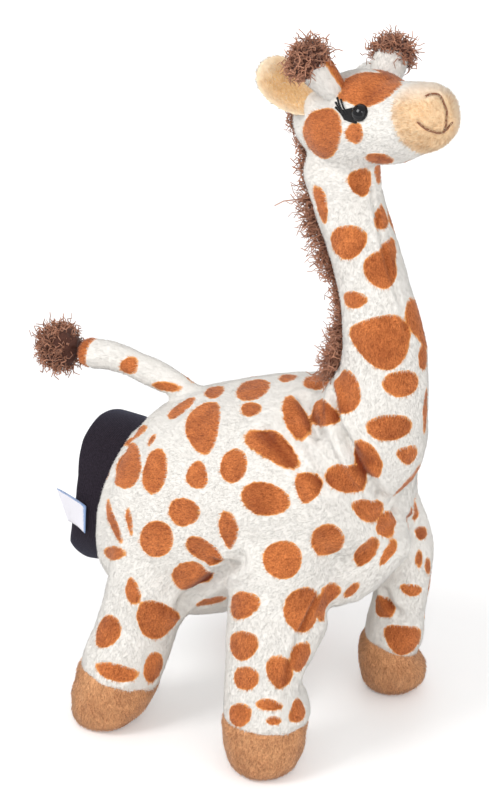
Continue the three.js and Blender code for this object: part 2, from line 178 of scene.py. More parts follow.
def hooped(name, hoops, sides=40, turned=None):
    """A closed form from hoops of middle, radius and facing, the first and last of radius 0."""
    form = ball(name, sides, len(hoops) - 1)
    for vertex in form.data.vertices:
        level = round(math.acos(max(-1, min(1, vertex.co.z))) / math.pi * (len(hoops) - 1))
        angle = math.atan2(vertex.co.y, vertex.co.x)
        middle, radius, facing = hoops[level]
        facing = Vector(facing)
        flank = Vector((0, 1, 0) if abs(facing.y) < 0.9 else (1, 0, 0)).cross(facing).normalized()
        spot = Vector(middle) + (facing.cross(flank) * math.cos(angle) + flank * math.sin(angle)) * radius
        vertex.co = place(*(turned @ spot if turned else spot))
    faced_out()
    return form


def stuffed(name, stations, domes, steps=4, upright=1.0, **rest):
    """A closed form swept along stations, with a dome of its own height at each end."""
    swept = through(stations, steps)
    along = unit(np.gradient(swept[:, :3], axis=0) * (1, 1, upright))
    hoops = [(swept[0, :3] - along[0] * domes[0] * math.cos(a), swept[0, 3] * math.sin(a), along[0])
             for a in np.radians((0, 15, 35, 55, 75))]
    hoops += [(point[:3], point[3], way) for point, way in zip(swept, along)]
    hoops += [(swept[-1, :3] + along[-1] * domes[1] * math.cos(a), swept[-1, 3] * math.sin(a), along[-1])
              for a in np.radians((75, 55, 35, 15, 0))]
    return hooped(name, hoops, **rest)


def remeshed(piece, size):
    only(piece)
    piece.data.remesh_voxel_size = size * MM
    bpy.ops.object.voxel_remesh()


def smoothed(mesh, places, rounds, hollows=False, hold=None):
    """Evens the mesh. With hollows it only lifts what lies in a hollow, as cloth bridges one."""
    edges = np.empty(len(mesh.edges) * 2, np.int32)
    mesh.edges.foreach_get("vertices", edges)
    a, b = edges[0::2], edges[1::2]
    count = len(places)
    share = np.bincount(a, minlength=count) + np.bincount(b, minlength=count)
    for turn_number in range(rounds):
        if hollows and turn_number % 8 == 0:
            put_back(mesh, places)
            normals = normals_of(mesh)
        middle = np.stack([np.bincount(a, places[b, k], count) + np.bincount(b, places[a, k], count)
                           for k in range(3)], axis=1) / share[:, None]
        step = middle - places
        if hollows:
            step *= np.clip(4 * (step * normals).sum(axis=1), 0, 1)[:, None]
        if hold is not None:
            step *= (1 - hold)[:, None]
        places = places + step * 0.6
    return places


nose_line = [(65.6, -6.2, 20.1), (66.1, -4.3, 20.5), (66.7, -2.5, 20.4), (67.4, -1, 19.8), (68.2, -0.1, 18.5),
             (69.1, 0.2, 16.2), (69.6, 0.3, 14.2), (69.8, 0.5, 12.3), (69.7, 0, 9.9), (69.4, -0.4, 7.6),
             (68.7, -0.9, 5.6)]
smile_line = [(64.8, -11.3, 10), (65.5, -10.3, 8.4), (66.2, -8.9, 7), (67, -6.9, 5.5), (67.6, -4.3, 4.5),
              (68, -2, 4.4), (68.5, -0.3, 5.1), (69, 1, 6.4), (68.6, 3, 7.6)]
head_turn = Matrix.Translation((3, 0, 282)) @ Euler(
    (math.radians(-8), math.radians(-20), math.radians(-13)), "XYZ").to_matrix().to_4x4()


def on_head(x, y, z):
    return head_turn @ Vector((x, y, z))


barrel = [(-95.3, 0, 85.2, 41.2), (-84, 0, 85.5, 46.4), (-65.5, 0, 93.5, 50.5), (-43, 0, 106.5, 49),
          (-20, 0, 117.5, 47.5), (-2, 0, 124.5, 45.5), (12, 0, 131, 38)]
neck_line = [(18.5, 0, 147.5, 25.7), (22, 0, 160, 24.5), (27.1, 0, 178, 19.5), (27, 0, 200, 17.3),
             (22.8, 0, 221, 15.2), (15.1, 0, 243, 14.5), (8, 0, 261, 14.8), (5, 0, 272.6, 16)]
skull = [(-2, 0, 13.5, 17.2), (9.6, 0, 11.5, 20), (23.6, 0, 12.5, 19.6), (34, 0, 10.2, 17.8),
         (41, 0, 10, 16.3), (49, 0, 10.5, 15.2), (58, 0, 11, 14.1)]
tail_line = [(-72, 0, 143.5, 5.2), (-87.3, 0, 148, 5.9), (-112.6, 0, 151.1, 6), (-130.6, 0, 149.3, 6.6)]
legs = {  # hip, foot, radii and shifts forward from the thigh down to the ankle, and the hoof's radius
    "front_right": ((-7, -34.2, 78), (-1.9, -47.3), (23, 24.5, 21.3, 20.4, 17.4, 18.2),
                    (1, 1.8, 2.6, 1.6, -0.8, 0), 17.3),
    "front_left": ((9.6, 42, 78), (5.8, 44.8), (13.8, 13.2, 12.2, 11.6, 12.4, 13.1), (0, 1.3, 3, 2.8, 0.8, 0), 15.4),
    "rear_right": ((-69, -35.6, 68), (-84.6, -55.1), (20.3, 22.5, 20.3, 18, 18, 18.2), (0, 0, 0, 0, 0, 0), 17.1),
    "rear_left": ((-68, 33.5, 68), (-60, 50), (21.3, 23.5, 21.3, 18, 16, 16.3), (0, 0, 0, 0, 0, 0), 16.8),
}
hoof_height, thigh_length = 25, 44
brisket = [(-4, -14, 89, 21), (12, -7, 93, 20), (26, 3, 106, 16)]
forms = [stuffed("barrel", barrel, (10, 22), upright=0.6), stuffed("brisket", brisket, (12, 10)),
         stuffed("neck", neck_line, (25, 15)), stuffed("skull", skull, (14.5, 12), turned=head_turn),
         stuffed("tail", tail_line, (5, 3))]
axes = {}
for name, (hip, foot, radii, ahead, hoof) in legs.items():
    hip, foot = Vector(hip), Vector((*foot, 0))
    down = (foot - hip).normalized()
    ring = (foot - hip).length - hoof_height
    thigh = Vector((0, -hip.y * 0.45, thigh_length)).normalized()
    axes[name] = (hip, foot, down, ring)
    middles = [hip + thigh * thigh_length, hip + thigh * thigh_length / 2, hip,
               hip + down * ring * 0.35, hip + down * ring * 0.7, hip + down * (ring - 3)]
    stops = [(*(middle + Vector((shift, shift * 0.7, 0))), r) for middle, shift, r in zip(middles, ahead, radii)]
    stops.append((*(hip + down * (ring + 6)), radii[-1] - 2))
    forms.append(stuffed(name, stops, (radii[0] * 0.6, 2)))
skin = joined("skin", forms)
remeshed(skin, 1.6)

# The hollow for the hand opens at the rear.
room_line = [(-160, 0, 87, 35.5), (-116, 0, 87, 35.5), (-98, 0, 86, 34.2), (-80, 0, 90, 36), (-50, 0, 104, 36),
             (-20, 0, 118, 32), (0, 0, 126, 22)]
hand_room = stuffed("hand room", room_line, (2, 10))
cut = skin.modifiers.new("hollow", "BOOLEAN")
cut.operation, cut.solver, cut.object = "DIFFERENCE", "MANIFOLD", hand_room
only(skin)
bpy.ops.object.modifier_apply(modifier=cut.name)
bpy.data.objects.remove(hand_room)
remeshed(skin, 1.15)
places = smoothed(skin.data, places_of(skin.data), 3)
places = smoothed(skin.data, places, 60, hollows=True)
put_back(skin.data, places)

# Seams, folds and soft dents of the stuffed cloth.
folds = [  # depth, half width and line
    (3.4, 1.9, [(6, -10, 181), (9, -14.5, 178.5), (12.5, -16.9, 176), (18.8, -22.3, 168.1), (24.1, -24.1, 160.9),
                (29, -23.5, 153.1), (33.7, -20.4, 144.4), (35, -12, 132.5)]),
    (2.4, 2.8, [(0, -29.2, 155.9), (6, -31.3, 151.9), (13.1, -32.5, 148.3), (19.4, -31.8, 142.2)]),
    (2.0, 2.4, [(23.9, -23.8, 162.7), (28.8, -23.3, 158.2), (33.9, -21, 152.5)]),
    (2.1, 2.3, [(-14.7, -29.9, 157.1), (-5.1, -33.2, 153.7), (4.4, -34.8, 147.6)]),
    (2.2, 2.2, [(-5.8, -11.8, 166.6), (2.8, -18.3, 163.2), (10.2, -23.8, 159.1)]),
    (3.0, 2.6, [(-12.7, -48.5, 103), (-24.9, -43.2, 91.1), (-38.5, -40.6, 77.5), (-49.9, -40.7, 64.7)]),
    (1.8, 1.6, [(-27.6, -45.4, 96.3), (-22.8, -44.5, 95.4), (-14, -48.8, 97.8)]),
    (1.5, 1.1, [(18.1, -31.4, 90.7), (16.4, -36.6, 83.6), (15.2, -40.8, 76.7), (14.2, -44.6, 70.7),
                (13.4, -47.2, 64.7), (12.5, -49, 59.2), (12, -49.6, 53.3), (11.4, -50.3, 42.4), (12.7, -52.9, 34.9)]),
    (0.9, 1.0, [(21.2, -2.3, 268.7), (23, -2.6, 261.9), (25.5, -3.3, 255.1), (27.6, -4, 249.5),
                (29.5, -4.5, 244.2), (32.9, -4.9, 235.1), (35.9, -4.6, 227.5), (38.9, -4.4, 218.9),
                (41.4, -4.8, 210.5)]),
    (1.8, 1.6, [(35.2, -3, 121.5), (35.2, -0.1, 118.4), (24.8, 26.2, 100.4), (26.2, 32.3, 97.1)]),
    (1.5, 1.5, [(25.3, 31.4, 114.2), (31.6, 18.4, 114.5), (24.9, 26, 101.5)]),
    (4.2, 6.5, [(10.8, -31, 54), (11.2, -32, 43)]),
    (2.2, 1.6, [(9.3, 33.5, 56.4), (12, 32.7, 50.5), (15.9, 33.5, 47.3)]),
]
mouth = [[on_head(*point) for point in line] for line in (nose_line, smile_line)]
folds += [(0.9, 0.8, line) for line in mouth]


def from_line(points, line):
    """How far each point lies from a line of straight stretches."""
    best = np.full(len(points), 1e9)
    line = np.array([tuple(point) for point in line])
    for a, b in zip(line, line[1:]):
        t = np.clip((points - a) @ (b - a) / ((b - a) @ (b - a)), 0, 1)
        best = np.minimum(best, np.linalg.norm(points - a - t[:, None] * (b - a), axis=1))
    return best


normals = normals_of(skin.data)
# How near each point lies to a fold, weighted by the fold's depth: the spots' orange is darkened there as painted
# shade.
sunk, fold_shade = np.zeros(len(places)), np.zeros(len(places))
for depth, width, line in folds:
    away = from_line(places, line) / width
    fold_shade = np.maximum(fold_shade, np.exp(-(away / 1.5) ** 2) * min(1, depth / 3))
    sunk += -depth * np.exp(-away**2) + 0.4 * depth * np.exp(-(away - 2.4) ** 2)
dents = np.array([noise.noise(Vector(p) * 0.055) + 0.5 * noise.noise(Vector(p) * 0.13) for p in places])
unfolded = places
places = places + normals * (sunk + 0.7 * dents)[:, None]
put_back(skin.data, places)

# Spots lie as in the photograph, and those of the unseen side are mirrored from the near one.
spots = [  # middle, longer half axis, shorter half, and how much wider its far end is
    ((-47.4, -27.3, 148.4), (-9.9, 11.2, 4.7), 9.3, 0.2), ((-56.9, -5.3, 153.1), (-6.1, 5.9, -2), 4.7, 0),
    ((-36.3, -6, 161.4), (-9.4, 8.4, -2.7), 7.8, -0.2), ((-23.7, 3.6, 165.8), (5.1, -5.2, 2.8), 4.4, 0),
    ((-8.6, 3.1, 168.3), (-3.2, 7.7, -1.1), 5.7, 0), ((-68, -15, 146.1), (3.1, 5.9, 3.7), 6.1, -0.2),
    ((-90.1, -19.7, 127.6), (6.8, -3.2, 8), 4.2, 0.2), ((-73.3, -30.1, 134.9), (-0.2, 2.7, 2.2), 2.4, 0.2),
    ((-84, -35, 121.2), (-11.8, 8, 0.2), 10.2, 0.1), ((-64, -41, 127), (-2.7, 5.7, 8.4), 7.5, 0),
    ((-97, -28.7, 109.8), (-0.6, 2.7, 2.1), 1.5, 0), ((-39.5, -42.8, 132.9), (-6, 1.9, 1.6), 6, 0.2),
    ((-26.9, -20.8, 160), (-6.6, 2.4, -1), 4, -0.1), ((-3.5, -20.6, 162.7), (-9.3, 6.8, 5.5), 5.3, -0.1),
    ((-22, -40.6, 142.1), (2.6, 3.4, 6.4), 7.5, 0.1), ((-6.3, -33.6, 153.5), (-14.4, 0.8, 4.6), 5.2, 0.1),
    ((13.2, -36.1, 140.1), (0.1, 2.1, 7), 5.7, 0.4), ((-3.1, -44.2, 133.2), (-11.1, -2.9, -0.1), 7.7, 0.1),
    ((-42.9, -47.9, 116.3), (-8.2, -0.3, -3.5), 6.6, 0.2), ((-56.6, -50.2, 99.4), (6.5, 0.8, 8.3), 8, 0),
    ((-20, -47.3, 114.2), (-0.2, -0.5, 9.9), 5, 0.3), ((-32.3, -47.1, 99.8), (-9.4, -2, 2.5), 6.5, 0.2),
    ((-41.7, -43.8, 83.3), (8.2, -0.6, 7.6), 8.2, 0), ((6.9, -45.1, 107.4), (4, 4.7, 6.4), 8.7, -0.1),
    ((-39.5, -33, 65.5), (-7.6, 0, -2), 4.2, 0), ((-9.3, -52.3, 83.3), (-9.2, 0.4, -5.7), 6, 0.1),
    ((21.4, -32.1, 114.9), (0.9, -2.7, 9.4), 7.4, 0), ((-83.1, -45, 97.4), (-8.4, 4.8, 6.5), 3.6, 0.3),
    ((-72.3, -48.5, 102.4), (-2.1, 1.5, 6), 2.2, 0.2), ((-82.1, -48.1, 83.5), (-9.6, 4.7, -5.6), 3.4, 0),
    ((8.9, -18.6, 167.6), (-8.6, 5, -1.3), 5.7, 0.3), ((19.5, -19.1, 180.8), (2.5, 0.8, 9.9), 8.7, 0),
    ((43.4, -9.4, 187.6), (-4.6, -7.3, 2.2), 6.3, 0), ((41, -14.4, 167.9), (-7.1, -8.2, 1), 6.3, 0),
    ((33.2, -21.5, 154), (-3.3, -2.1, 9.2), 5.8, -0.1), ((25.4, -24.8, 144.2), (-7.8, -5, 1.9), 6.8, -0.2),
    ((44.7, -6.4, 153), (-1.3, -6.1, 3.7), 4.4, -0.3), ((32.2, -17.8, 127.7), (-3, -7.8, 5.2), 5.3, -0.3),
    ((34.9, -7.1, 117), (-0.5, -5.6, 4.5), 5.9, 0), ((41, 1.2, 135.7), (3.5, 5.8, 6.9), 4.6, -0.2),
    ((31.8, 14.4, 108.9), (1, -1.2, 6.6), 4, 0), ((26.3, 33.8, 101.4), (-0.1, -0.6, 5.1), 2.6, 0),
    ((26.3, 37.6, 89.1), (-0.3, -4.2, 3.7), 3.1, -0.3), ((44.8, 3.5, 195.4), (-0.7, 0.1, 6), 4.5, 0.1),
    ((45.4, 6.4, 169.9), (0.7, -1.1, 12.3), 3.3, -0.4), ((30.1, -15.8, 105.5), (2.6, 2.3, 7.2), 5, 0.2),
    ((37, -8.2, 103), (2.4, 2.9, 6.1), 2.7, 0.3), ((19.2, -6.9, 273.4), (-1.2, -1, 6.8), 5.4, 0.3),
    ((4.4, -14.5, 261.9), (-1.5, -1, 9.3), 3.7, 0.3), ((17.4, -14.2, 248.4), (-6.8, -2.7, -5), 7.3, 0.1),
    ((25.3, 0.3, 256.7), (-2.1, 1.9, 4.8), 4.7, -0.4), ((30.7, -1.2, 242.9), (1, -6.3, -4), 4.7, 0.4),
    ((30.9, -8, 236.6), (-3.4, -0.2, 8), 7.6, 0.2), ((21.9, -16.5, 223.4), (-6.5, -0.7, -1.8), 4, 0.2),
    ((35.1, -14.8, 207.2), (-10.6, -6.7, 2.8), 11.8, -0.3), ((41, 2, 213.8), (-2.6, 0.9, 8.3), 5.8, 0.2),
    ((6.5, -19.7, 296.1), (10.6, -2.6, 11.3), 10, -0.1), ((25.9, -21.2, 302.3), (3.3, -0.1, 4.6), 4.2, -0.1),
    ((34.6, -15.4, 292.6), (6.6, -1.2, 1.8), 5.2, 0), ((-66.4, -54.9, 72.9), (-1.4, 1.2, 6.4), 3.9, -0.3),
    ((-56.3, -50.4, 59), (-3.2, -5.2, 9.6), 9.2, -0.2), ((-78.2, -60, 50.6), (5.2, 1.8, 7.2), 6.7, 0),
    ((-69.1, -64.1, 33.5), (-9.3, -4.9, 1.7), 4.4, 0), ((-58.9, -49.3, 33.1), (1.1, -1.9, 9.1), 5.8, -0.2),
    ((14.6, -41.1, 83.3), (-0.7, -0.2, 11.1), 8.6, 0.1),
    ((-7.1, -56, 65.3), (-7.1, 0, -5.9), 6.7, 0.1), ((-4, -58.3, 50.4), (-6.1, -0.9, -4.3), 5.6, 0),
    ((9.6, -52.3, 55.6), (-0.5, -0.2, 8.4), 5.4, 0.2), ((15.5, -43.6, 61.4), (0, 0.7, 7.7), 5.2, 0),
    ((7.6, -56.2, 39.8), (-4.9, -3.8, 0.9), 3, 0.1), ((-6, -61.7, 32.7), (-5.1, 0.7, -4.7), 5.4, 0),
    ((10.6, -56.6, 33), (-2.8, -2.6, 0.5), 2.3, -0.2), ((15, -44.2, 35), (-1.9, 1.2, 5.7), 4.8, -0.4),
    ((20.8, 36.5, 58.4), (-3.9, -3.9, 2.2), 3.2, -0.2), ((8.5, 32.6, 47.6), (3.4, 0, 4.4), 5.2, 0.4),
    ((18.2, 35, 32.7), (-5, -6.1, 5.9), 7.6, -0.3), ((24, 38, 74.6), (0.4, -1.3, 5.9), 2, 0),
    ((25.3, 44.9, 68.1), (0.4, -2.2, 5.6), 2.4, 0.1), ((-104, -5.6, 152.2), (-4.6, -0.6, -2.6), 4.1, -0.3),
    ((-83.7, -6.4, 147.8), (-8.5, 0, -1.3), 2.6, 0), ((26.1, -10.8, 319.2), (-14.4, 0.2, -2.1), 9.8, 0),
    ((17.1, -16.2, 314.4), (-4.9, 0.9, 0), 2.4, 0), ((43.5, -9, 288.6), (3, -1.5, 1.5), 1.1, 0),
    ((57, -14, 299.6), (2.7, -1.4, 1.9), 1.1, 0), ((17.2, -28.2, 82.6), (2.4, 2.4, 9.4), 5.3, 0),
    ((25.7, -19.3, 86.3), (2.9, 1.3, 4.5), 2.8, 0),
]

skin_surface = surface_of(skin, places)


def spot_field(points):
    """How far each point lies outside the nearest spot, and below 0 inside one."""
    field = np.full(len(points), 9.0)
    for middle, long, short, taper in spots_all:
        close = np.flatnonzero(np.linalg.norm(points - middle, axis=1) < np.linalg.norm(long) * 1.5 + 6)
        if not len(close):
            continue
        normal = np.array(skin_surface.find_nearest(Vector(middle))[1])
        reach = np.linalg.norm(long)
        along = np.array(long) / reach
        across = np.cross(normal, along)
        offset = points[close] - middle
        far = offset @ along / reach
        radius = np.hypot(far, offset @ across / short / np.clip(1 + taper * far, 0.4, 1.6))
        away = (radius - 1) * min(reach, short)
        away[abs(offset @ normal) > max(5, 0.75 * max(reach, short))] = 9
        field[close] = np.minimum(field[close], away)
    return field


def on_leg(name, z):
    hip, _, down, _ = axes[name]
    return np.array(hip + down * ((z - hip.z) / down.z))


leg_top = 84
spots_all = list(spots)
mirror = np.array((1, -1, 1))


def alone(found, room):
    return min(np.linalg.norm(np.array(found) - spot[0]) for spot in spots) > room


for middle, long, short, taper in spots:
    x, y, z = middle
    normal = skin_surface.find_nearest(Vector(middle))[1]
    if z > leg_top and normal.y < -0.4:
        there = mirror * middle + (3, 0, 2)
        if alone(there, 12):
            spots_all.append((tuple(there), tuple(mirror * long), short, taper))
    elif z <= leg_top and y < 0:
        rear = x < -40
        name = "rear_right" if rear else "front_right"
        shift = mirror * (np.array(middle) - on_leg(name, z))
        found = skin_surface.find_nearest(Vector(on_leg(name.replace("right", "left"), z) + shift))[0]
        if alone(found, 11 if rear else 15) and (rear or shift[1] > 4):
            spots_all.append((tuple(found), tuple(mirror * long), short, taper))
field = spot_field(unfolded)
on_tail = (places[:, 0] < -110) & (places[:, 2] > 136) & (abs(places[:, 1]) < 14)
field[on_tail] = np.minimum(field[on_tail], places[on_tail, 0] + 126.8)
marked(skin.data, "spot", field)
marked(skin.data, "fold_shade", fold_shade)

# Torso, neck, head, muzzle, legs and tail
# Each is cut from the one skin where it bends or is sewn, so that the cloth runs on unbroken.


def linear(colour):
    """A colour given as it looks, from 0 to 255, as the light that it sends back."""
    return tuple((c / 255 / 12.92 if c < 11 else ((c / 255 + 0.055) / 1.055) ** 2.4) for c in colour) + (1,)


def wired(tree, kind, *links, **settings):
    """A new node, with its inputs given as (socket, value or output)."""
    node = tree.nodes.new(kind)
    for name, value in settings.items():
        setattr(node, name, value)
    for socket, value in links:
        if isinstance(value, bpy.types.NodeSocket):
            tree.links.new(value, node.inputs[socket])
        else:
            node.inputs[socket].default_value = value
    return node


def mixed(tree, share, *colours):
    """One colour mixed into another. Each is an output, or is given as it looks."""
    ends = [colour if isinstance(colour, bpy.types.NodeSocket) else linear(colour) for colour in colours]
    return wired(tree, "ShaderNodeMix", (0, share), *zip((6, 7), ends), data_type="RGBA").outputs[2]


def maths(tree, operation, *values):
    return wired(tree, "ShaderNodeMath", *enumerate(values), operation=operation).outputs[0]


def ranged(tree, value, *ends):
    """A value moved from its lowest and highest to a new lowest and highest, 0 and 1 if not given."""
    return wired(tree, "ShaderNodeMapRange", (0, value), *enumerate(ends, 1)).outputs[0]


def noised(tree, scale, detail=2.0):
    where = tree.nodes.new("ShaderNodeTexCoord").outputs["Object"]
    return wired(tree, "ShaderNodeTexNoise", ("Vector", where), ("Scale", scale), ("Detail", detail)).outputs[0]


def attribute(tree, name):
    return wired(tree, "ShaderNodeAttribute", attribute_name=name).outputs["Fac"]


def pile_colours(name, tones, spotted=False):
    """A group that colours pile cloth by its spots, its strands and slow changes over the cloth, and on spotted cloth
    darkens the orange along the folds as painted shade.
    """
    tree = bpy.data.node_groups.new(name, "ShaderNodeTree")
    tree.interface.new_socket("Tone", in_out="INPUT", socket_type="NodeSocketFloat")
    tree.interface.new_socket("Colour", in_out="OUTPUT", socket_type="NodeSocketColor")
    given, result = tree.nodes.new("NodeGroupInput"), tree.nodes.new("NodeGroupOutput")
    slow = maths(tree, "MULTIPLY_ADD", noised(tree, 90.0), 0.5, -0.25)
    blend = maths(tree, "ADD", given.outputs["Tone"], slow)
    colour = mixed(tree, blend, *tones[:2])
    if len(tones) == 3:
        colour = mixed(tree, attribute(tree, "pale"), colour, tones[2])
    if spotted:
        orange_dark, orange_light, frayed, mottle_and_fold_shade = tones[2:]
        ragged = maths(tree, "ADD", noised(tree, 420.0, 1.0), noised(tree, 130.0, 1.0))
        field = maths(tree, "MULTIPLY_ADD", ragged, 0.9, attribute(tree, "spot"))
        orange = mixed(tree, blend, orange_dark, orange_light)
        deep = ranged(tree, noised(tree, 60.0, 1.0), 0.5, 0.75, 0.0, 0.45)
        # The orange darkens in random patches, which are its own mottling, and along the folds as painted shade.
        orange = mixed(tree, maths(tree, "MAXIMUM", deep, attribute(tree, "fold_shade")), orange, mottle_and_fold_shade)
        orange = mixed(tree, ranged(tree, field, 0.15, 0.55, 1.0, 0.0), frayed, orange)
        colour = mixed(tree, ranged(tree, field, 0.55, 0.9, 1.0, 0.0), colour, orange)
    tree.links.new(colour, result.inputs[0])
    return tree


def surfaced(name, *values):
    """A new material with the values of its surface, its node tree and its surface node."""
    made = bpy.data.materials.new(name)
    made.use_nodes = True
    face = made.node_tree.nodes["Principled BSDF"]
    for socket, value in values:
        face.inputs[socket].default_value = value
    return made, made.node_tree, face


def pile_material(name, group, strands):
    """Soft matt pile. Its strands take their tone along each hair, the ground between them from noise."""
    made, tree, face = surfaced(name, ("Roughness", 0.85), ("Specular IOR Level", 0.2), ("Sheen Weight", 0.15),
                                ("Sheen Roughness", 0.5))
    tone = attribute(tree, "tone") if strands else noised(tree, 1500.0)
    colours = wired(tree, "ShaderNodeGroup", (0, tone), node_tree=group)
    tree.links.new(colours.outputs[0], face.inputs["Base Color"])
    return made


def pile_pair(name, tones, spotted=False):
    """The materials of a pile cloth's ground and of its strands."""
    group = pile_colours(name + ", pile", tones, spotted)
    return pile_material(name, group, False), pile_material(name + ", strands", group, True)


def plain(name, colour, rough, sheen, shine=0.5):
    return surfaced(name, ("Base Color", linear(colour)), ("Roughness", rough), ("Sheen Weight", sheen),
                    ("Specular IOR Level", shine))[0]


def after(points, start, facing):
    """How far the points lie past a plane."""
    return (points - np.array(start)) @ (np.array(facing) / np.linalg.norm(facing))


def as_on_head(points):
    return np.array([tuple(head_turn.inverted() @ Vector(point)) for point in points])


def leg_cut(name):
    """The tilted plane from the crotch to the outside of the hip, and the way down past it."""
    hip = axes[name][0]
    side = 1 if hip.y > 0 else -1
    start = (hip.x, side * 15, 58 if "front" in name else 50)
    return start, (0, side * 0.5, -0.87)


parts = ["torso", "neck", "head", "muzzle", *(name + "_leg" for name in legs), "tail"]
middles = vectors(skin.data.polygons, "center") / MM - np.array(floor_middle)
group = np.zeros(len(middles), np.int32)
group[after(middles, (15, 0, 140), (0.83, 0, 0.55)) > 0] = parts.index("neck")
group[after(middles, (8, 0, 262), (-0.3, 0, 1)) > 0] = parts.index("head")
where = np.flatnonzero(group == parts.index("head"))
in_head = as_on_head(middles[where])
group[where[in_head[:, 0] + 0.12 * (in_head[:, 2] - 12) > 53]] = parts.index("muzzle")
for name in legs:
    start, facing = leg_cut(name)
    near = (after(middles, start, facing) > 0) & (np.sign(middles[:, 1]) == np.sign(start[1]))
    near &= (middles[:, 0] > -40) if "front" in name else (middles[:, 0] <= -40)
    group[near] = parts.index(name + "_leg")
group[(middles[:, 0] < -80) & (middles[:, 2] > 138) & (abs(middles[:, 1]) < 10)] = parts.index("tail")
for _ in parts:
    skin.data.materials.append(None)
skin.data.polygons.foreach_set("material_index", group)
skin.data.attributes.new("part", "INT", "FACE").data.foreach_set("value", group)
only(skin)
bpy.ops.object.shade_smooth()
bpy.ops.object.mode_set(mode="EDIT")
bpy.ops.mesh.separate(type="MATERIAL")
bpy.ops.object.mode_set(mode="OBJECT")
pieces = {}
for piece in list(bpy.context.selected_objects):
    number = piece.data.attributes["part"].data[0].value
    piece.name = piece.data.name = parts[number]
    piece.data.materials.clear()
    pieces[parts[number]] = piece
# The last tone is the dark orange of random patches and of painted shade along the folds.
spotted, spotted_hair = pile_pair("white plush with orange spots", [
    (231, 226, 218), (248, 245, 240), (112, 30, 6), (253, 155, 86), (240, 166, 92), (126, 50, 16)], spotted=True)
cream, cream_hair = pile_pair("cream plush", [(230, 174, 120), (255, 232, 194), (255, 246, 234)])
for name, piece in pieces.items():
    piece.data.materials.append(cream if name == "muzzle" else spotted)
x, y, z = as_on_head(places_of(pieces["muzzle"].data)).T
pale = 0.8 * np.clip((z - 17) / 8, 0, 1) + 0.4 * np.clip((y - 3) / 8, 0, 1) + 0.3 * np.clip(1 - (x - 53) / 4, 0, 1)
marked(pieces["muzzle"].data, "pale", np.clip(pale, 0, 1))

bends = {
    "neck": ("root", "neck", (15, 0, 140), (52, 0, 165)),
    "head": ("neck", "head", (8, 0, 262), (2, 0, 284)),
    "tail": ("root", "tail", (-80, 0, 146), (-98, 0, 150)),
}
for name in legs:
    start, facing = leg_cut(name)
    hip, _, down, _ = axes[name]
    facing = Vector(facing)
    first = hip + down * ((Vector(start) - hip).dot(facing) / down.dot(facing))
    bends[name + "_leg"] = ("root", name + "_leg", tuple(first), tuple(first + facing * 28))


def moves(piece, name):
    """A piece of a part listed in bends has its place baked into its vertices; any other rides on its part's body."""
    if name in bends:
        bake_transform(piece)
    else:
        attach(piece, {"torso": "root", "muzzle": "head"}.get(name, name))


for name, piece in pieces.items():
    moves(piece, name)
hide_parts("body_side_right", "body_side_left", "belly_panel")
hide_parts("neck_side_right", "neck_side_left", "neck_stuffing", "neck_finger_stall")
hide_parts("head_side_right", "head_side_left", "head_stuffing")
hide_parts("muzzle_skin")
pieces["tail"].name = "tail_tube"
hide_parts("tail")
for name in legs:
    stall = [name + "_finger_stall"] if "front" in name else []
    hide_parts(name + "_leg_skin", name + "_leg_stuffing", *stall)

# Hooves
# Cups of shorter tan plush, sewn to the legs all round and flat where they stand.
tan, tan_hair = pile_pair("tan plush", [(150, 84, 48), (255, 194, 140)])
hoof_profile = [  # share of the way down from the seam, and of the radius
    (-0.12, 0.85), (-0.06, 0.95), (0, 1), (0.06, 1.03), (0.16, 1.05), (0.3, 1.05), (0.45, 1.03), (0.6, 0.985),
    (0.73, 0.92), (0.84, 0.83), (0.91, 0.74), (0.96, 0.65), (0.99, 0.56), (1, 0.45), (1, 0.2)]
seam_leans = {"front_left": (-0.48, -0.33, 0), "front_right": (-0.06, 0.16, 0), "rear_right": (0.08, 0.05, 0)}
upright = Vector((0, 0, -1))
for name, (_, _, radii, _, hoof) in legs.items():
    hip, foot, down, ring = axes[name]
    ankle = radii[-1] - 0.3
    seam = hip + down * ring
    fall = foot - seam
    hoops = [(seam - down * 3, 0, down)]
    lean = Vector(seam_leans.get(name, (0, 0, 0)))
    for s, r in hoof_profile:
        tilt = min(1, max(0, s * 1.15))
        wide = ankle + (hoof - ankle) * min(1, max(0, s * 4))
        hoops.append((seam + fall * s, wide * r, (down + lean).lerp(upright, tilt).normalized()))
    hoops.append((foot, 0, upright))
    cup = hooped(name + "_hoof_cup", hoops, sides=56)
    cup.data.materials.append(tan)
    remeshed(cup, 1.1)
    bpy.ops.object.shade_smooth()
    points, normals = places_of(cup.data), normals_of(cup.data)
    ruck = np.array([noise.noise(Vector(p) * 0.16) for p in points])
    points = smoothed(cup.data, points + normals * (0.7 * ruck * np.clip(points[:, 2] / 4, 0, 1))[:, None], 3)
    points[:, 2] = np.maximum(points[:, 2], 0)
    put_back(cup.data, points)
    pieces[name + "_hoof"] = cup
    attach(cup, name + "_leg")
    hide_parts(name + "_hoof")

# Pile
# The cloth's own short strands, laid the way they are brushed and clumped a little. Each is a
# thin closed spike that takes the colour of the cloth at its root.
dice = np.random.default_rng(7)


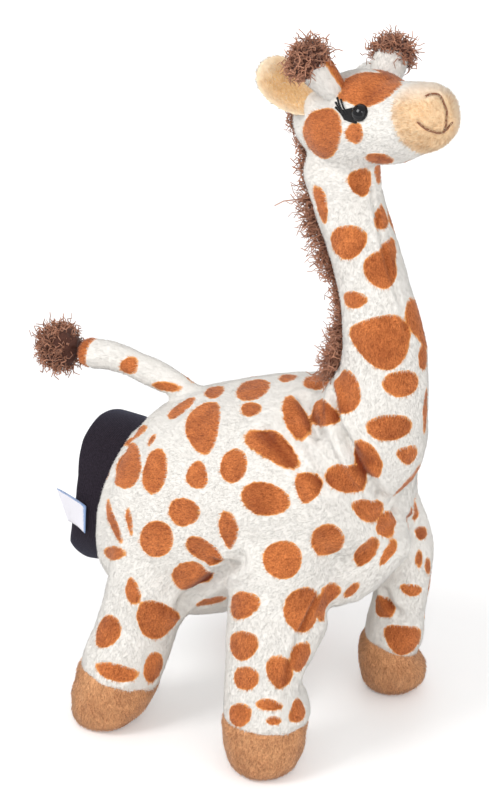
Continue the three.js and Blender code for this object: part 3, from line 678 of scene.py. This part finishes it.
def grown(name, roots, ways, normals, tones, marks, lengths, thick):
    """One mesh of closed three-sided spikes."""
    side = unit(np.cross(ways, dice.normal(size=ways.shape)))
    other = np.cross(ways, side)
    count = len(roots)
    corners = np.empty((count, 4, 3))
    for k, angle in enumerate(np.radians((90, 210, 330))):
        corners[:, k] = roots + (side * math.cos(angle) + other * math.sin(angle)) * thick[:, None] / 2
    corners[:, 3] = roots + ways * lengths[:, None]
    corners[:, 3, 2] = np.maximum(corners[:, 3, 2], 0.05)
    mesh = bpy.data.meshes.new(name)
    mesh.vertices.add(count * 4)
    mesh.loops.add(count * 12)
    mesh.polygons.add(count * 4)
    faces = np.array([(0, 1, 3), (1, 2, 3), (2, 0, 3), (2, 1, 0)]).ravel()
    mesh.loops.foreach_set("vertex_index", (np.arange(count)[:, None] * 4 + faces).ravel().astype(np.int32))
    mesh.polygons.foreach_set("loop_start", np.arange(0, count * 12, 3, dtype=np.int32))
    put_back(mesh, corners.reshape(-1, 3))
    mesh.update(calc_edges=True)
    tone = np.repeat(tones[:, None], 4, axis=1) * 0.6
    tone[:, 3] += 0.4
    marked(mesh, "tone", tone)
    for mark, values in marks.items():
        marked(mesh, mark, np.repeat(values, 4))
    mesh.attributes.new("custom_normal", "FLOAT_VECTOR", "POINT").data.foreach_set(
        "vector", np.repeat(normals, 4, axis=0).astype(np.float32).ravel())
    return shown(name, mesh)


def rooted(piece, per_mm2, keep=None):
    """Random points all over a piece, with their normals and how far they lie from a spot."""
    mesh = piece.data
    mesh.calc_loop_triangles()
    corners = np.empty(len(mesh.loop_triangles) * 3, np.int32)
    mesh.loop_triangles.foreach_get("vertices", corners)
    corners = corners.reshape(-1, 3)
    points, normals = places_of(mesh), normals_of(mesh)
    if keep is not None:
        corners = corners[keep(points[corners].mean(axis=1))]
    a, b, c = points[corners[:, 0]], points[corners[:, 1]], points[corners[:, 2]]
    area = np.linalg.norm(np.cross(b - a, c - a), axis=1) / 2
    chosen = dice.choice(len(area), int(area.sum() * per_mm2), p=area / area.sum())
    u, v = dice.random((2, len(chosen)))
    over = u + v > 1
    u[over], v[over] = 1 - u[over], 1 - v[over]
    share = np.stack((1 - u - v, u, v), axis=1)
    marks = {}
    for mark, none in (("spot", 9), ("fold_shade", 0), ("pale", 0)):
        values = np.full(len(mesh.vertices), none, np.float32)
        if mark in mesh.attributes:
            mesh.attributes[mark].data.foreach_get("value", values)
        marks[mark] = (share * values[corners[chosen]]).sum(axis=1)
    roots = np.einsum("nk,nkd->nd", share, points[corners[chosen]])
    return roots, unit(np.einsum("nk,nkd->nd", share, normals[corners[chosen]])), marks


def swirl(points, scale, seed):
    """Slow random turns from -1 to 1, which clump neighbouring strands."""
    picks = np.random.default_rng(seed)
    waves = picks.normal(size=(6, 3)) * scale
    phases = picks.random(6) * 2 * math.pi
    return np.sin(points @ waves.T + phases).mean(axis=1) * 1.6


strands_per_mm2, most_strands = 2.95, 48000


def piled(piece, name, material, brushed, keep=None, long=1.55, lift=0.42, thick=0.24, rough=0.28):
    """Covers a piece with strands brushed along a direction, and gives them as pieces of their own."""
    roots, normals, marks = rooted(piece, strands_per_mm2, keep)
    way = brushed(roots)
    way = unit(way - normals * (way * normals).sum(axis=1)[:, None], 1e-6)
    across = np.cross(normals, way)
    # neighbours clump into locks, longer along the brushing than across it
    main = way.mean(axis=0) / np.linalg.norm(way.mean(axis=0))
    squeezed = roots - 0.7 * (roots @ main)[:, None] * main
    locks = 0.6 * swirl(squeezed, 2.6, 6) + 0.6 * swirl(squeezed, 4.5, 8)
    turned = swirl(roots, 0.15, 3) * 0.35 + swirl(roots, 0.8, 4) * 0.1 + dice.normal(size=len(roots)) * 0.2
    rise = lift + locks * 0.16 * rough + dice.normal(size=len(roots)) * 0.1
    way = unit(way * np.cos(turned)[:, None] + across * np.sin(turned)[:, None]
               + normals * np.clip(rise, 0.1, 2)[:, None])
    lengths = long * (0.75 + 0.5 * dice.random(len(roots)))
    thicks = thick * (0.8 + 0.4 * dice.random(len(roots)))
    tones = np.clip(0.5 + 0.45 * locks + 0.3 * dice.normal(size=len(roots)), 0, 1)
    shaded = unit(normals * 0.9 + way * (0.25 + 0.2 * rough * locks[:, None])
                  + dice.normal(size=normals.shape) * 0.1)
    batches = math.ceil(len(roots) / most_strands)
    made = []
    for number in range(batches):
        part = slice(number, None, batches)
        hair = grown(f"{name}_pile_{number + 1}" if batches > 1 else name + "_pile",
                     roots[part] - normals[part] * 0.15, way[part], shaded[part], tones[part],
                     {mark: values[part] for mark, values in marks.items()}, lengths[part], thicks[part])
        hair.data.materials.append(material)
        made.append(hair)
    return made


def toward(*way):
    return lambda points: np.tile(np.array(way, float), (len(points), 1))


def torso_way(points):
    low = np.clip((100 - points[:, 2]) / 35, 0, 1)[:, None]
    return (1 - low) * np.array((-1, 0, -0.35)) + low * np.array((-0.35, 0, -1))


def outside_of_hollow(points):
    room = np.array(through(room_line))
    room = room[np.argsort(room[:, 0])]
    middle, radius = (np.interp(points[:, 0], room[:, 0], room[:, k]) for k in (2, 3))
    return np.hypot(points[:, 1], points[:, 2] - middle) > np.where(points[:, 0] < 8, radius + 1.6, 0)


def off_the_floor(points):
    return points[:, 2] > 0.8


def off_the_mouth(points):
    return np.minimum(*(from_line(points, line) for line in mouth)) > 0.4


head_back = tuple(head_turn.to_3x3() @ Vector((-1, 0, 0.1)))
brushes = {"torso": torso_way, "neck": toward(-0.15, 0, -1), "head": toward(*head_back),
           "muzzle": toward(*head_back), "tail": toward(-1, 0, -0.1)}
piles = {"torso": dict(keep=outside_of_hollow),
         "muzzle": dict(keep=off_the_mouth, long=1.8, lift=0.7, thick=0.27, rough=0.9)}
for name, piece in pieces.items():
    hairs = cream_hair if name == "muzzle" else spotted_hair
    if name.endswith("hoof"):
        made = piled(piece, name, tan_hair, toward(0, 0, -1), off_the_floor, 1.8, 0.5, 0.26, 1.1)
    else:
        made = piled(piece, name, hairs, brushes.get(name, toward(-0.25, 0, -1)), **piles.get(name, {}))
    for hair in made:
        moves(hair, name.replace("hoof", "leg"))

# Sleeve
# Black jersey that lines the hollow for the hand and stands out behind, hemmed at its mouth. It
# hangs a little lower and further back underneath, and its knit catches a bluish light.
jersey, tree, face = surfaced(
    "black jersey", ("Roughness", 0.85), ("Specular IOR Level", 0.15), ("Sheen Weight", 0.12),
    ("Sheen Roughness", 0.4), ("Sheen Tint", (0.45, 0.55, 0.9, 1)))
where = tree.nodes.new("ShaderNodeTexCoord").outputs["Object"]
fine = noised(tree, 1500.0)
knit = wired(tree, "ShaderNodeTexWave", ("Vector", where), ("Scale", 330.0), ("Distortion", 1.5), ("Detail", 1.0),
             bands_direction="X").outputs["Fac"]
loops = maths(tree, "MULTIPLY", knit, fine)
bump = wired(tree, "ShaderNodeBump", ("Height", loops), ("Strength", 0.6), ("Distance", 0.0003)).outputs[0]
tree.links.new(mixed(tree, fine, (12, 8, 11), (52, 44, 55)), face.inputs["Base Color"])
tree.links.new(bump, face.inputs["Normal"])
outside = [(12, 120, 0), (8, 119, 12), (0, 117, 20), (-20, 113, 29), (-50, 102, 33.4), (-80, 90, 33.4),
           (-95, 86.5, 33), (-101, 86.4, 33), (-105, 86.3, 33.3), (-109, 86.1, 33.9), (-114, 85.6, 34.2),
           (-117, 85.2, 34.4)]
hem = [(-118.2, 85.2, 34.1), (-118.5, 85.2, 33.4), (-118.2, 85.2, 32.8)]
inside = [(x + (1.2 if x > 5 else 0), z, max(0, r - 1.5)) for x, z, r in outside[::-1]]
inside[-1] = (10.8, 120, 0)
sleeve = hooped("jersey_sleeve", [(Vector((x, 0, z)), r, Vector((-1, 0, 0)))
                                  for x, z, r in outside + hem + inside], sides=120)
points = places_of(sleeve.data)
outer = np.clip((-points[:, 0] - 99) / 18, 0, 1)
around = np.degrees(np.arctan2(-points[:, 1], points[:, 2] - 86.5))
points[:, 0] += outer * np.interp(around, (-180, -120, -60, -30, 0, 30, 45, 60, 75, 90, 105, 120, 150, 180),
                                  (-2, -3, -6.5, -7.5, -6.4, -3.5, -0.6, 2.8, 4.2, 3.8, 1.6, -1.6, -1, -2))
put_back(sleeve.data, points)
sleeve.data.materials.append(jersey)
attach(sleeve, "root")
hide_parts("sleeve", "palm_lining")

# Label
# A folded white satin tag in the cuff's seam, its selvage woven light blue. It is left bare.
label = primitive(bpy.ops.mesh.primitive_grid_add, "satin_label", x_subdivisions=48, y_subdivisions=14, size=1)
seam_top, seam_foot = Vector((-106.5, -35.2, 93.5)), Vector((-107.5, -34.9, 79.5))
out = Vector((-0.78, -0.35, 0.52)).normalized()
face_way = (seam_foot - seam_top).cross(out).normalized()
selvage = []
for vertex in label.data.vertices:
    s, v = vertex.co.x + 0.5, vertex.co.y + 0.5
    u = 1 - abs(2 * s - 1)
    apart = (1 if s < 0.5 else -1) * 0.45 * math.sqrt(max(0, 1 - u**6)) * min(1, 0.5 + u * 3)
    bow = 1.6 * math.sin(u * 2.2) * (0.4 + v) - 0.6 * u * u
    spot = seam_top.lerp(seam_foot, v) + out * (12.4 * u + 6 * (0.5 - v) * u) + face_way * (bow + apart)
    vertex.co = place(*spot)
    selvage.append(max(0, 1 - u / 0.16) + max(0, 1 - v / 0.07) * 0.7)
marked(label.data, "selvage", np.clip(selvage, 0, 1))
solid = label.modifiers.new("cloth", "SOLIDIFY")
solid.thickness, solid.offset = 0.22 * MM, 0
only(label)
bpy.ops.object.modifier_apply(modifier=solid.name)
bpy.ops.object.shade_smooth()
satin, tree, face = surfaced("white satin", ("Roughness", 0.38))
where = tree.nodes.new("ShaderNodeTexCoord").outputs["Object"]
blue = ranged(tree, maths(tree, "ADD", attribute(tree, "selvage"), noised(tree, 3200.0)), 0.8, 1.1)
weave = wired(tree, "ShaderNodeTexWave", ("Vector", where), ("Scale", 900.0), bands_direction="Z").outputs["Fac"]
white = mixed(tree, weave, (222, 220, 230), (244, 243, 248))
bump = wired(tree, "ShaderNodeBump", ("Height", weave), ("Strength", 0.4), ("Distance", 0.0001)).outputs[0]
tree.links.new(mixed(tree, blue, white, (138, 166, 210)), face.inputs["Base Color"])
tree.links.new(bump, face.inputs["Normal"])
label.data.materials.append(satin)
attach(label, "root")
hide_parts("sewn_label")

# Horns
# Short stubs of the white plush, the near one with an orange patch on its inner side.
stub_profile = [(-0.1, 4), (0.25, 4.9), (0.5, 5.8), (0.75, 6.9), (1, 7.1)]
for side, name, top in ((-1, "right", (16.3, -23, 38.2)), (1, "left", (17, 20, 34.5))):
    foot, top = on_head(19.2, 7.6 * side, 16.8), on_head(*top)
    stub = stuffed("horn_stub_" + name, [(*foot.lerp(top, t), r) for t, r in stub_profile], (3, 3), sides=48)
    remeshed(stub, 0.8)
    bpy.ops.object.shade_smooth()
    stub.data.materials.append(spotted)
    points = places_of(stub.data)
    axis = np.array((top - foot).normalized())
    rise = (points - np.array(foot)) @ axis
    radial = unit(points - np.array(foot) - rise[:, None] * axis, 1e-6)
    patch = (0.45 - radial @ np.array((0.8, 0.57, -0.15))) * 7 + np.clip(8 - rise, 0, 9)
    marked(stub.data, "spot", patch if side < 0 else np.full(len(points), 9.0))
    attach(stub, "head")
    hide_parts("horn_" + name)
    for hair in piled(stub, "horn_stub_" + name, spotted_hair, toward(*axis)):
        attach(hair, "head")

# Tufts and mane
# Long curly brown pile: a ball on each horn, the tail's end, and the strip sewn into the neck's
# seam. Its strands are kinked and matted, so each is a thin closed tube that waves about its line.
# The ground under the curls is a darker brown: painted shade that stands for the gaps between them.
brown, gap_shade_brown = [(96, 54, 39), (208, 150, 120)], [(58, 34, 28), (104, 66, 54)]
curly_strands = pile_material("brown curly pile, strands", pile_colours("brown curls", brown), True)
curly = pile_material("brown curly pile", pile_colours("brown curls, ground", gap_shade_brown), False)


def curled(name, roots, ways, lengths, thick=0.74, loose=1.0, over=None):
    """One mesh of closed three-sided tubes that wave about their own line and end in a point."""
    count, levels = len(roots), 8
    along = np.linspace(0, 1, levels)
    ways = unit(ways)
    side = unit(np.cross(ways, dice.normal(size=ways.shape)))
    other = np.cross(ways, side)
    first = dice.random((count, 1))
    turns = (0.8 + 1.3 * dice.random((count, 1))) * np.maximum(1, lengths / 6)[:, None]
    angle = (first + turns * along) * 2 * math.pi
    wave = loose * (0.4 + dice.random((count, 1))) * np.sqrt(along)
    bent = dice.normal(size=(count, 2, 1)) * 0.3 * lengths[:, None, None] * along**2
    path = (roots[:, None] + ways[:, None] * (lengths[:, None] * along)[..., None]
            + side[:, None] * (wave * np.cos(angle) + bent[:, 0])[..., None]
            + other[:, None] * (wave * np.sin(angle) + bent[:, 1])[..., None])
    if over:
        # a curl that would graze the skin is laid on it, and one that would run deeper is left out
        sunk = np.zeros(count)
        for n, k in np.ndindex(count, levels - 2):
            point = Vector(path[n, k + 2])
            nearest, out, _, _ = over.find_nearest(point)
            depth = 0.5 - (point - nearest).dot(out)
            path[n, k + 2] += np.array(out) * max(0, depth)
            sunk[n] = max(sunk[n], depth)
        path, side, other = (a[sunk < 1.3] for a in (path, side, other))
        count = len(path)
    tangent = unit(np.gradient(path, axis=1))
    flank = unit(np.cross(tangent, (side + 0.3 * other)[:, None]), 1e-9)
    back = np.cross(tangent, flank)
    radius = (thick / 2 * (0.7 + 0.6 * dice.random((count, 1))) * (1 - 0.45 * along))[..., None]
    rings = np.stack([path + (flank * math.cos(a) + back * math.sin(a)) * radius
                      for a in np.radians((90, 210, 330))], axis=2)
    tips = path[:, -1] + tangent[:, -1] * thick
    points = np.concatenate([rings.reshape(count, levels * 3, 3), tips[:, None]], axis=1)
    faces = [(0, 2, 1)]
    for start in range(0, 3 * levels - 3, 3):
        faces += [(start + k, start + (k + 1) % 3, start + 3 + (k + 1) % 3, start + 3 + k) for k in range(3)]
    faces += [(3 * levels - 3 + k, 3 * levels - 3 + (k + 1) % 3, 3 * levels) for k in range(3)]
    size = levels * 3 + 1
    mesh = bpy.data.meshes.new(name)
    faces = [tuple(i + size * n for i in face) for n in range(count) for face in faces]
    mesh.from_pydata(points.reshape(-1, 3).tolist(), [], faces)
    put_back(mesh, points.reshape(-1, 3))
    mesh.polygons.foreach_set("use_smooth", np.ones(len(mesh.polygons), bool))
    tone = np.clip(0.1 + 0.55 * np.append(np.repeat(along, 3), 1) + 0.4 * (dice.random((count, 1)) - 0.3), 0, 1)
    marked(mesh, "tone", tone)
    mesh.materials.append(curly_strands)
    return shown(name, mesh)


def tuft(name, body, middle, radii, way, count, long, *stands_for):
    """A matted ball with curls all over it."""
    axis = Vector(way).normalized()
    stations = [(*(Vector(middle) + axis * radii[1] * t), radii[0] * math.sqrt(1 - t * t))
                for t in (-0.8, -0.4, 0, 0.4, 0.8)]
    core = stuffed(name, stations, (radii[1] * 0.2, radii[1] * 0.2), sides=36)
    points, normals = places_of(core.data), normals_of(core.data)
    lumps = np.array([noise.noise(Vector(p) * 0.45) + 0.6 * noise.noise(Vector(p) * 1.1) for p in points])
    put_back(core.data, points + normals * lumps[:, None] * 1.5)
    # The core's darker brown is painted shade for the gaps between the curls.
    core.data.materials.append(curly)
    area = sum(face.area for face in core.data.polygons) / MM**2
    roots, normals, _ = rooted(core, count / area)
    clear = normals @ np.array(axis) > -0.5
    roots, normals = roots[clear], normals[clear]
    spread = normals + 0.75 * dice.normal(size=normals.shape) - 0.1
    lengths = long * (0.5 + 0.5 * dice.random(len(roots)) + 0.9 * dice.random(len(roots)) ** 9)
    curls = curled(name + "_curls", roots - normals * 0.6, spread, lengths)
    for piece in (core, curls):
        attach(piece, body)
    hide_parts(*stands_for)


for side, name, middle, radii in ((-1, "right", (16.5, -24, 38.8), (8, 6.4)),
                                  (1, "left", (16.8, 21.8, 36.4), (7.8, 5.9))):
    middle = on_head(*middle)
    way = middle - on_head(18.9, 14 * side, 25)
    tuft("horn_ball_" + name, "head", middle, radii, way, 640, 4.6, "horn_tuft_" + name)
tuft("tail_ball", "tail", (-146, 0, 147.8), (8.8, 9.2), (-1, 0, -0.1), 840, 4.8, "tail_tuft")


def nape_line(low, high):
    """Where the back of the neck and head lies, from one height to another."""
    heights = np.linspace(low, high, round((high - low) / 3) + 1)
    return np.array([tuple(skin_surface.ray_cast(Vector((-60, 0, z)), Vector((1, 0, 0)))[0]) for z in heights])


def bushy(points):
    """The mane is thicker at its foot."""
    return np.clip((210 - points[:, 2]) / 22, 0, 1)


curl_heights, curl_lengths = (181, 192, 206, 220, 232, 256, 268, 285, 303), (11, 11, 8, 8, 10.5, 10, 7.5, 5.5, 4.5)
for name, body, low, high, count in (("mane", "neck", 181, 262, 2300), ("mane_nape", "head", 264, 303, 520)):
    line = nape_line(low, high)
    stations = [(*(p + (0.6 - b, 0, 0)), 2.2 + 2.4 * b) for p, b in zip(line, bushy(line))]
    strip = stuffed(name + "_strip", stations, (2, 2), steps=1, sides=20)
    # The strip's darker brown is painted shade for the gaps between the curls.
    strip.data.materials.append(curly)
    share = dice.random(count) ** (1.6 if body == "neck" else 1) * (len(line) - 1)
    roots = np.stack([np.interp(share, np.arange(len(line)), line[:, k]) for k in range(3)], axis=1)
    thicker = bushy(roots)
    roots[:, 1] += dice.normal(size=count) * (1.3 + 2.2 * thicker)
    roots[:, 0] += 0.5 + 0.12 * roots[:, 1] ** 2 - thicker
    ways = np.stack([np.full(count, -1.0), dice.normal(size=count) * 0.6 + roots[:, 1] * 0.16,
                     dice.normal(size=count) * 0.6 - 0.3], axis=1)
    lengths = (np.interp(roots[:, 2], curl_heights, curl_lengths)
               * (0.62 + 0.3 * swirl(roots, 0.9, 12) + 0.4 * dice.random(count)))
    curls = curled(name + "_curls", roots, ways, lengths, thick=0.72, loose=1.5, over=skin_surface)
    for piece in (strip, curls):
        moves(piece, body)
    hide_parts(name)

# Ears
# Two layers each: white plush behind, and in the dish a lining of cream pile, paler at the rim.
lining, lining_hair = pile_pair("cream ear plush", [(220, 156, 92), (255, 222, 168), (254, 234, 204)])
ear_shares, ear_halves = (0, 0.04, 0.15, 0.35, 0.55, 0.75, 0.88, 0.96, 1), (0, 4.6, 7, 9.1, 9.9, 9.1, 7, 4, 0)
for name, foot, tip, facing in (("right", (2, -15, 20.4), (-12, -25.6, 39.4), (0.8, -0.6, 0.1)),
                                ("left", (-1, 13.5, 18.5), (-10.5, 27, 33.5), (-0.3, 1, 0.2))):
    foot, tip = on_head(*foot), on_head(*tip)
    axis = (tip - foot).normalized()
    facing = head_turn.to_3x3() @ Vector(facing)
    facing = (facing - axis * facing.dot(axis)).normalized()
    across = axis.cross(facing)
    length = (tip - foot).length + 3
    for layer, node, ground, strands, inset, thick, lift in (
            ("ear_plush_", "ear_back_", spotted, spotted_hair, 0.5, 1.4, 0),
            ("ear_dish_", "ear_lining_", lining, lining_hair, 0, 1.0, 1.0)):
        dish = ball(layer + name, 48, 36)
        rim = []
        for vertex in dish.data.vertices:
            around = math.atan2(vertex.co.y, vertex.co.x)
            s = 0.5 - 0.5 * vertex.co.z if abs(vertex.co.z) < 0.999999 else (0.0 if vertex.co.z > 0 else 1.0)
            half = np.interp(s, ear_shares, ear_halves) - inset * min(1, 9 * s * (1 - s))
            u, v = math.cos(around), math.sin(around)
            sunk = 3.6 * (1 - u * u) * math.sin(math.pi * min(1, s + 0.15)) - 1.6 * s * s
            spot = (foot + axis * (-3 + inset + (length - 2 * inset) * s) + across * (u * half)
                    + facing * (lift - sunk + v * thick * min(1, half / 3) * (1 - 0.5 * u * u)))
            vertex.co = place(*spot)
            rim.append(max(abs(u) ** 3, (s - 0.72) / 0.25))
        marked(dish.data, "pale", np.clip(rim, 0, 1))
        marked(dish.data, "spot", np.full(len(rim), 9))
        faced_out()
        dish.data.materials.append(ground)
        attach(dish, "head")
        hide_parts(node + name)
        for hair in piled(dish, layer + name, strands, toward(*axis), long=1.8, lift=0.65, thick=0.26, rough=0.9):
            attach(hair, "head")

# Eyes and lashes
# Glossy black safety eyes on a short collar. Behind each is a wedge of black satin stitch, from
# which four lashes of the same thread fan up and back to a knot each.
gloss = plain("black plastic", (4, 4, 7), 0.05, 0, 0.32)
floss = plain("black thread", (8, 7, 10), 0.5, 0.05, 0.25)
face_surface = surface_of(pieces["head"], places_of(pieces["head"].data))
dome = [(-1.2, 0), (-1.2, 3.1), (-0.1, 3.5), (0.2, 3.75), (0.5, 3.75), (0.62, 3.5), (1.1, 3.42), (1.7, 3.1),
        (2.2, 2.55), (2.6, 1.8), (2.85, 0.9), (2.9, 0)]  # height over the cloth and radius


def stitch(name, surface, line, radii, height, sides=8):
    """A thread laid on the cloth along a line given on the head, closed at both ends."""
    laid = []
    for point, radius in zip(line, radii):
        spot, normal, _, _ = surface.find_nearest(on_head(*point))
        laid.append((*(spot + normal * height), radius))
    return stuffed(name, laid, (radii[0], radii[-1]), steps=3, sides=sides)


lashes = [[(29.5, -17.8, 15.3), (26.8, -18, 18), (24.2, -17.1, 21.7)],
          [(30.4, -17.5, 15.5), (28.4, -17.5, 18), (26.7, -17, 20.7)],
          [(28.6, -18, 15.6), (26.1, -18.3, 17.8), (24.1, -17.9, 19.9)],
          [(28.1, -18.3, 15), (26.4, -18.5, 16.6), (24.5, -18.5, 18.1)]]
for side, name in ((-1, "right"), (1, "left")):
    spot, normal, _, _ = face_surface.find_nearest(on_head(35.9, 16 * side, 15.3))
    eye = hooped("safety_eye_" + name, [(spot + normal * h, r, normal) for h, r in dome], sides=40)
    eye.data.materials.append(gloss)
    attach(eye, "head")
    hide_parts("eye_" + name)
    threads = []
    for k in range(15):
        t = k / 14
        start = Vector((27.2 + 0.4 * t, -18.3, 16.8 - 2.2 * t))
        start = start.lerp(Vector((29.5, -17.9, 12.6)), max(0, t - 0.6) * 1.4)
        end = Vector((34.4, -16.4, 17.6)).lerp(Vector((34.6, -16.9, 11.6)), t)
        line = [(p.x, p.y * -side, p.z) for p in (start, start.lerp(end, 0.5), end)]
        threads.append(stitch("thread", face_surface, line, (0.3, 0.34, 0.34), 0.55))
    for line in lashes:
        line = [(x, y * -side, z) for x, y, z in line]
        line.append(tuple(Vector(line[-1]) + (Vector(line[-1]) - Vector(line[-2])).normalized() * 0.5))
        threads.append(stitch("lash", face_surface, line, (0.42, 0.34, 0.4, 0.52), 0.75))
    stitched = joined("stitched_lashes_" + name, threads)
    stitched.data.materials.append(floss)
    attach(stitched, "head")
    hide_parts("eyelash_" + name)
    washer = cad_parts["eye_washer_" + name].data.materials
    washer.clear()
    washer.append(plain("white plastic " + name, (226, 226, 222), 0.4, 0))

# Mouth
# One brown thread drawn through the muzzle, from the nose down to the smile.
nose_surface = surface_of(pieces["muzzle"], places_of(pieces["muzzle"].data))
threads = [stitch("thread", nose_surface, line, [0.42] * len(line), 0.5) for line in (nose_line, smile_line)]
mouth_piece = joined("stitched_mouth", threads)
mouth_piece.data.materials.append(plain("brown thread", (136, 86, 58), 0.8, 0.2))
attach(mouth_piece, "head")
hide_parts("mouth_thread")

# Floor and lights
# A white sweep under and behind the puppet, and three broad soft lamps.


def seen_by_camera(tree):
    """1 for what the camera sees, straight, mirrored or through glass, and 0 for other light."""
    rays = tree.nodes.new("ShaderNodeLightPath").outputs
    straight = maths(tree, "ADD", rays["Is Camera Ray"], rays["Is Glossy Ray"])
    return maths(tree, "ADD", straight, rays["Is Transmission Ray"])


floor = primitive(bpy.ops.mesh.primitive_plane_add, "floor", size=6)
paper, tree, face = surfaced("white paper", ("Base Color", (0.9, 0.9, 0.9, 1)), ("Emission Color", (1, 1, 1, 1)))
where = tree.nodes.new("ShaderNodeTexCoord").outputs["Object"]
far = wired(tree, "ShaderNodeVectorMath", (0, where), operation="LENGTH").outputs["Value"]
glow = maths(tree, "MULTIPLY", seen_by_camera(tree), ranged(tree, far, 0.45, 1.6, 0.22, 1.0))
tree.links.new(glow, face.inputs["Emission Strength"])
floor.data.materials.append(paper)
world = bpy.data.worlds.new("studio")
world.use_nodes = True
tree, sky = world.node_tree, world.node_tree.nodes["Background"].inputs
sky["Color"].default_value = (1, 1, 1, 1)
tree.links.new(ranged(tree, seen_by_camera(tree), 0.0, 1.0, 0.73, 1.0), sky["Strength"])
bpy.context.scene.world = world
for name, spot, power, size in (("key", (-0.6, -1.2, 1.5), 15, 0.7), ("fill", (1.4, -0.6, 0.7), 6.5, 1.4),
                                ("small", (0.75, -1.0, 1.35), 2, 0.12)):
    lamp = bpy.data.lights.new(name, "AREA")
    lamp.energy, lamp.size = power, size
    held = bpy.data.objects.new(name, lamp)
    held.location = spot
    held.rotation_euler = (Vector((0.02, 0, 0.16)) - Vector(spot)).to_track_quat("-Z", "Y").to_euler()
    bpy.context.scene.collection.objects.link(held)

bpy.context.scene.view_settings.view_transform = "Standard"
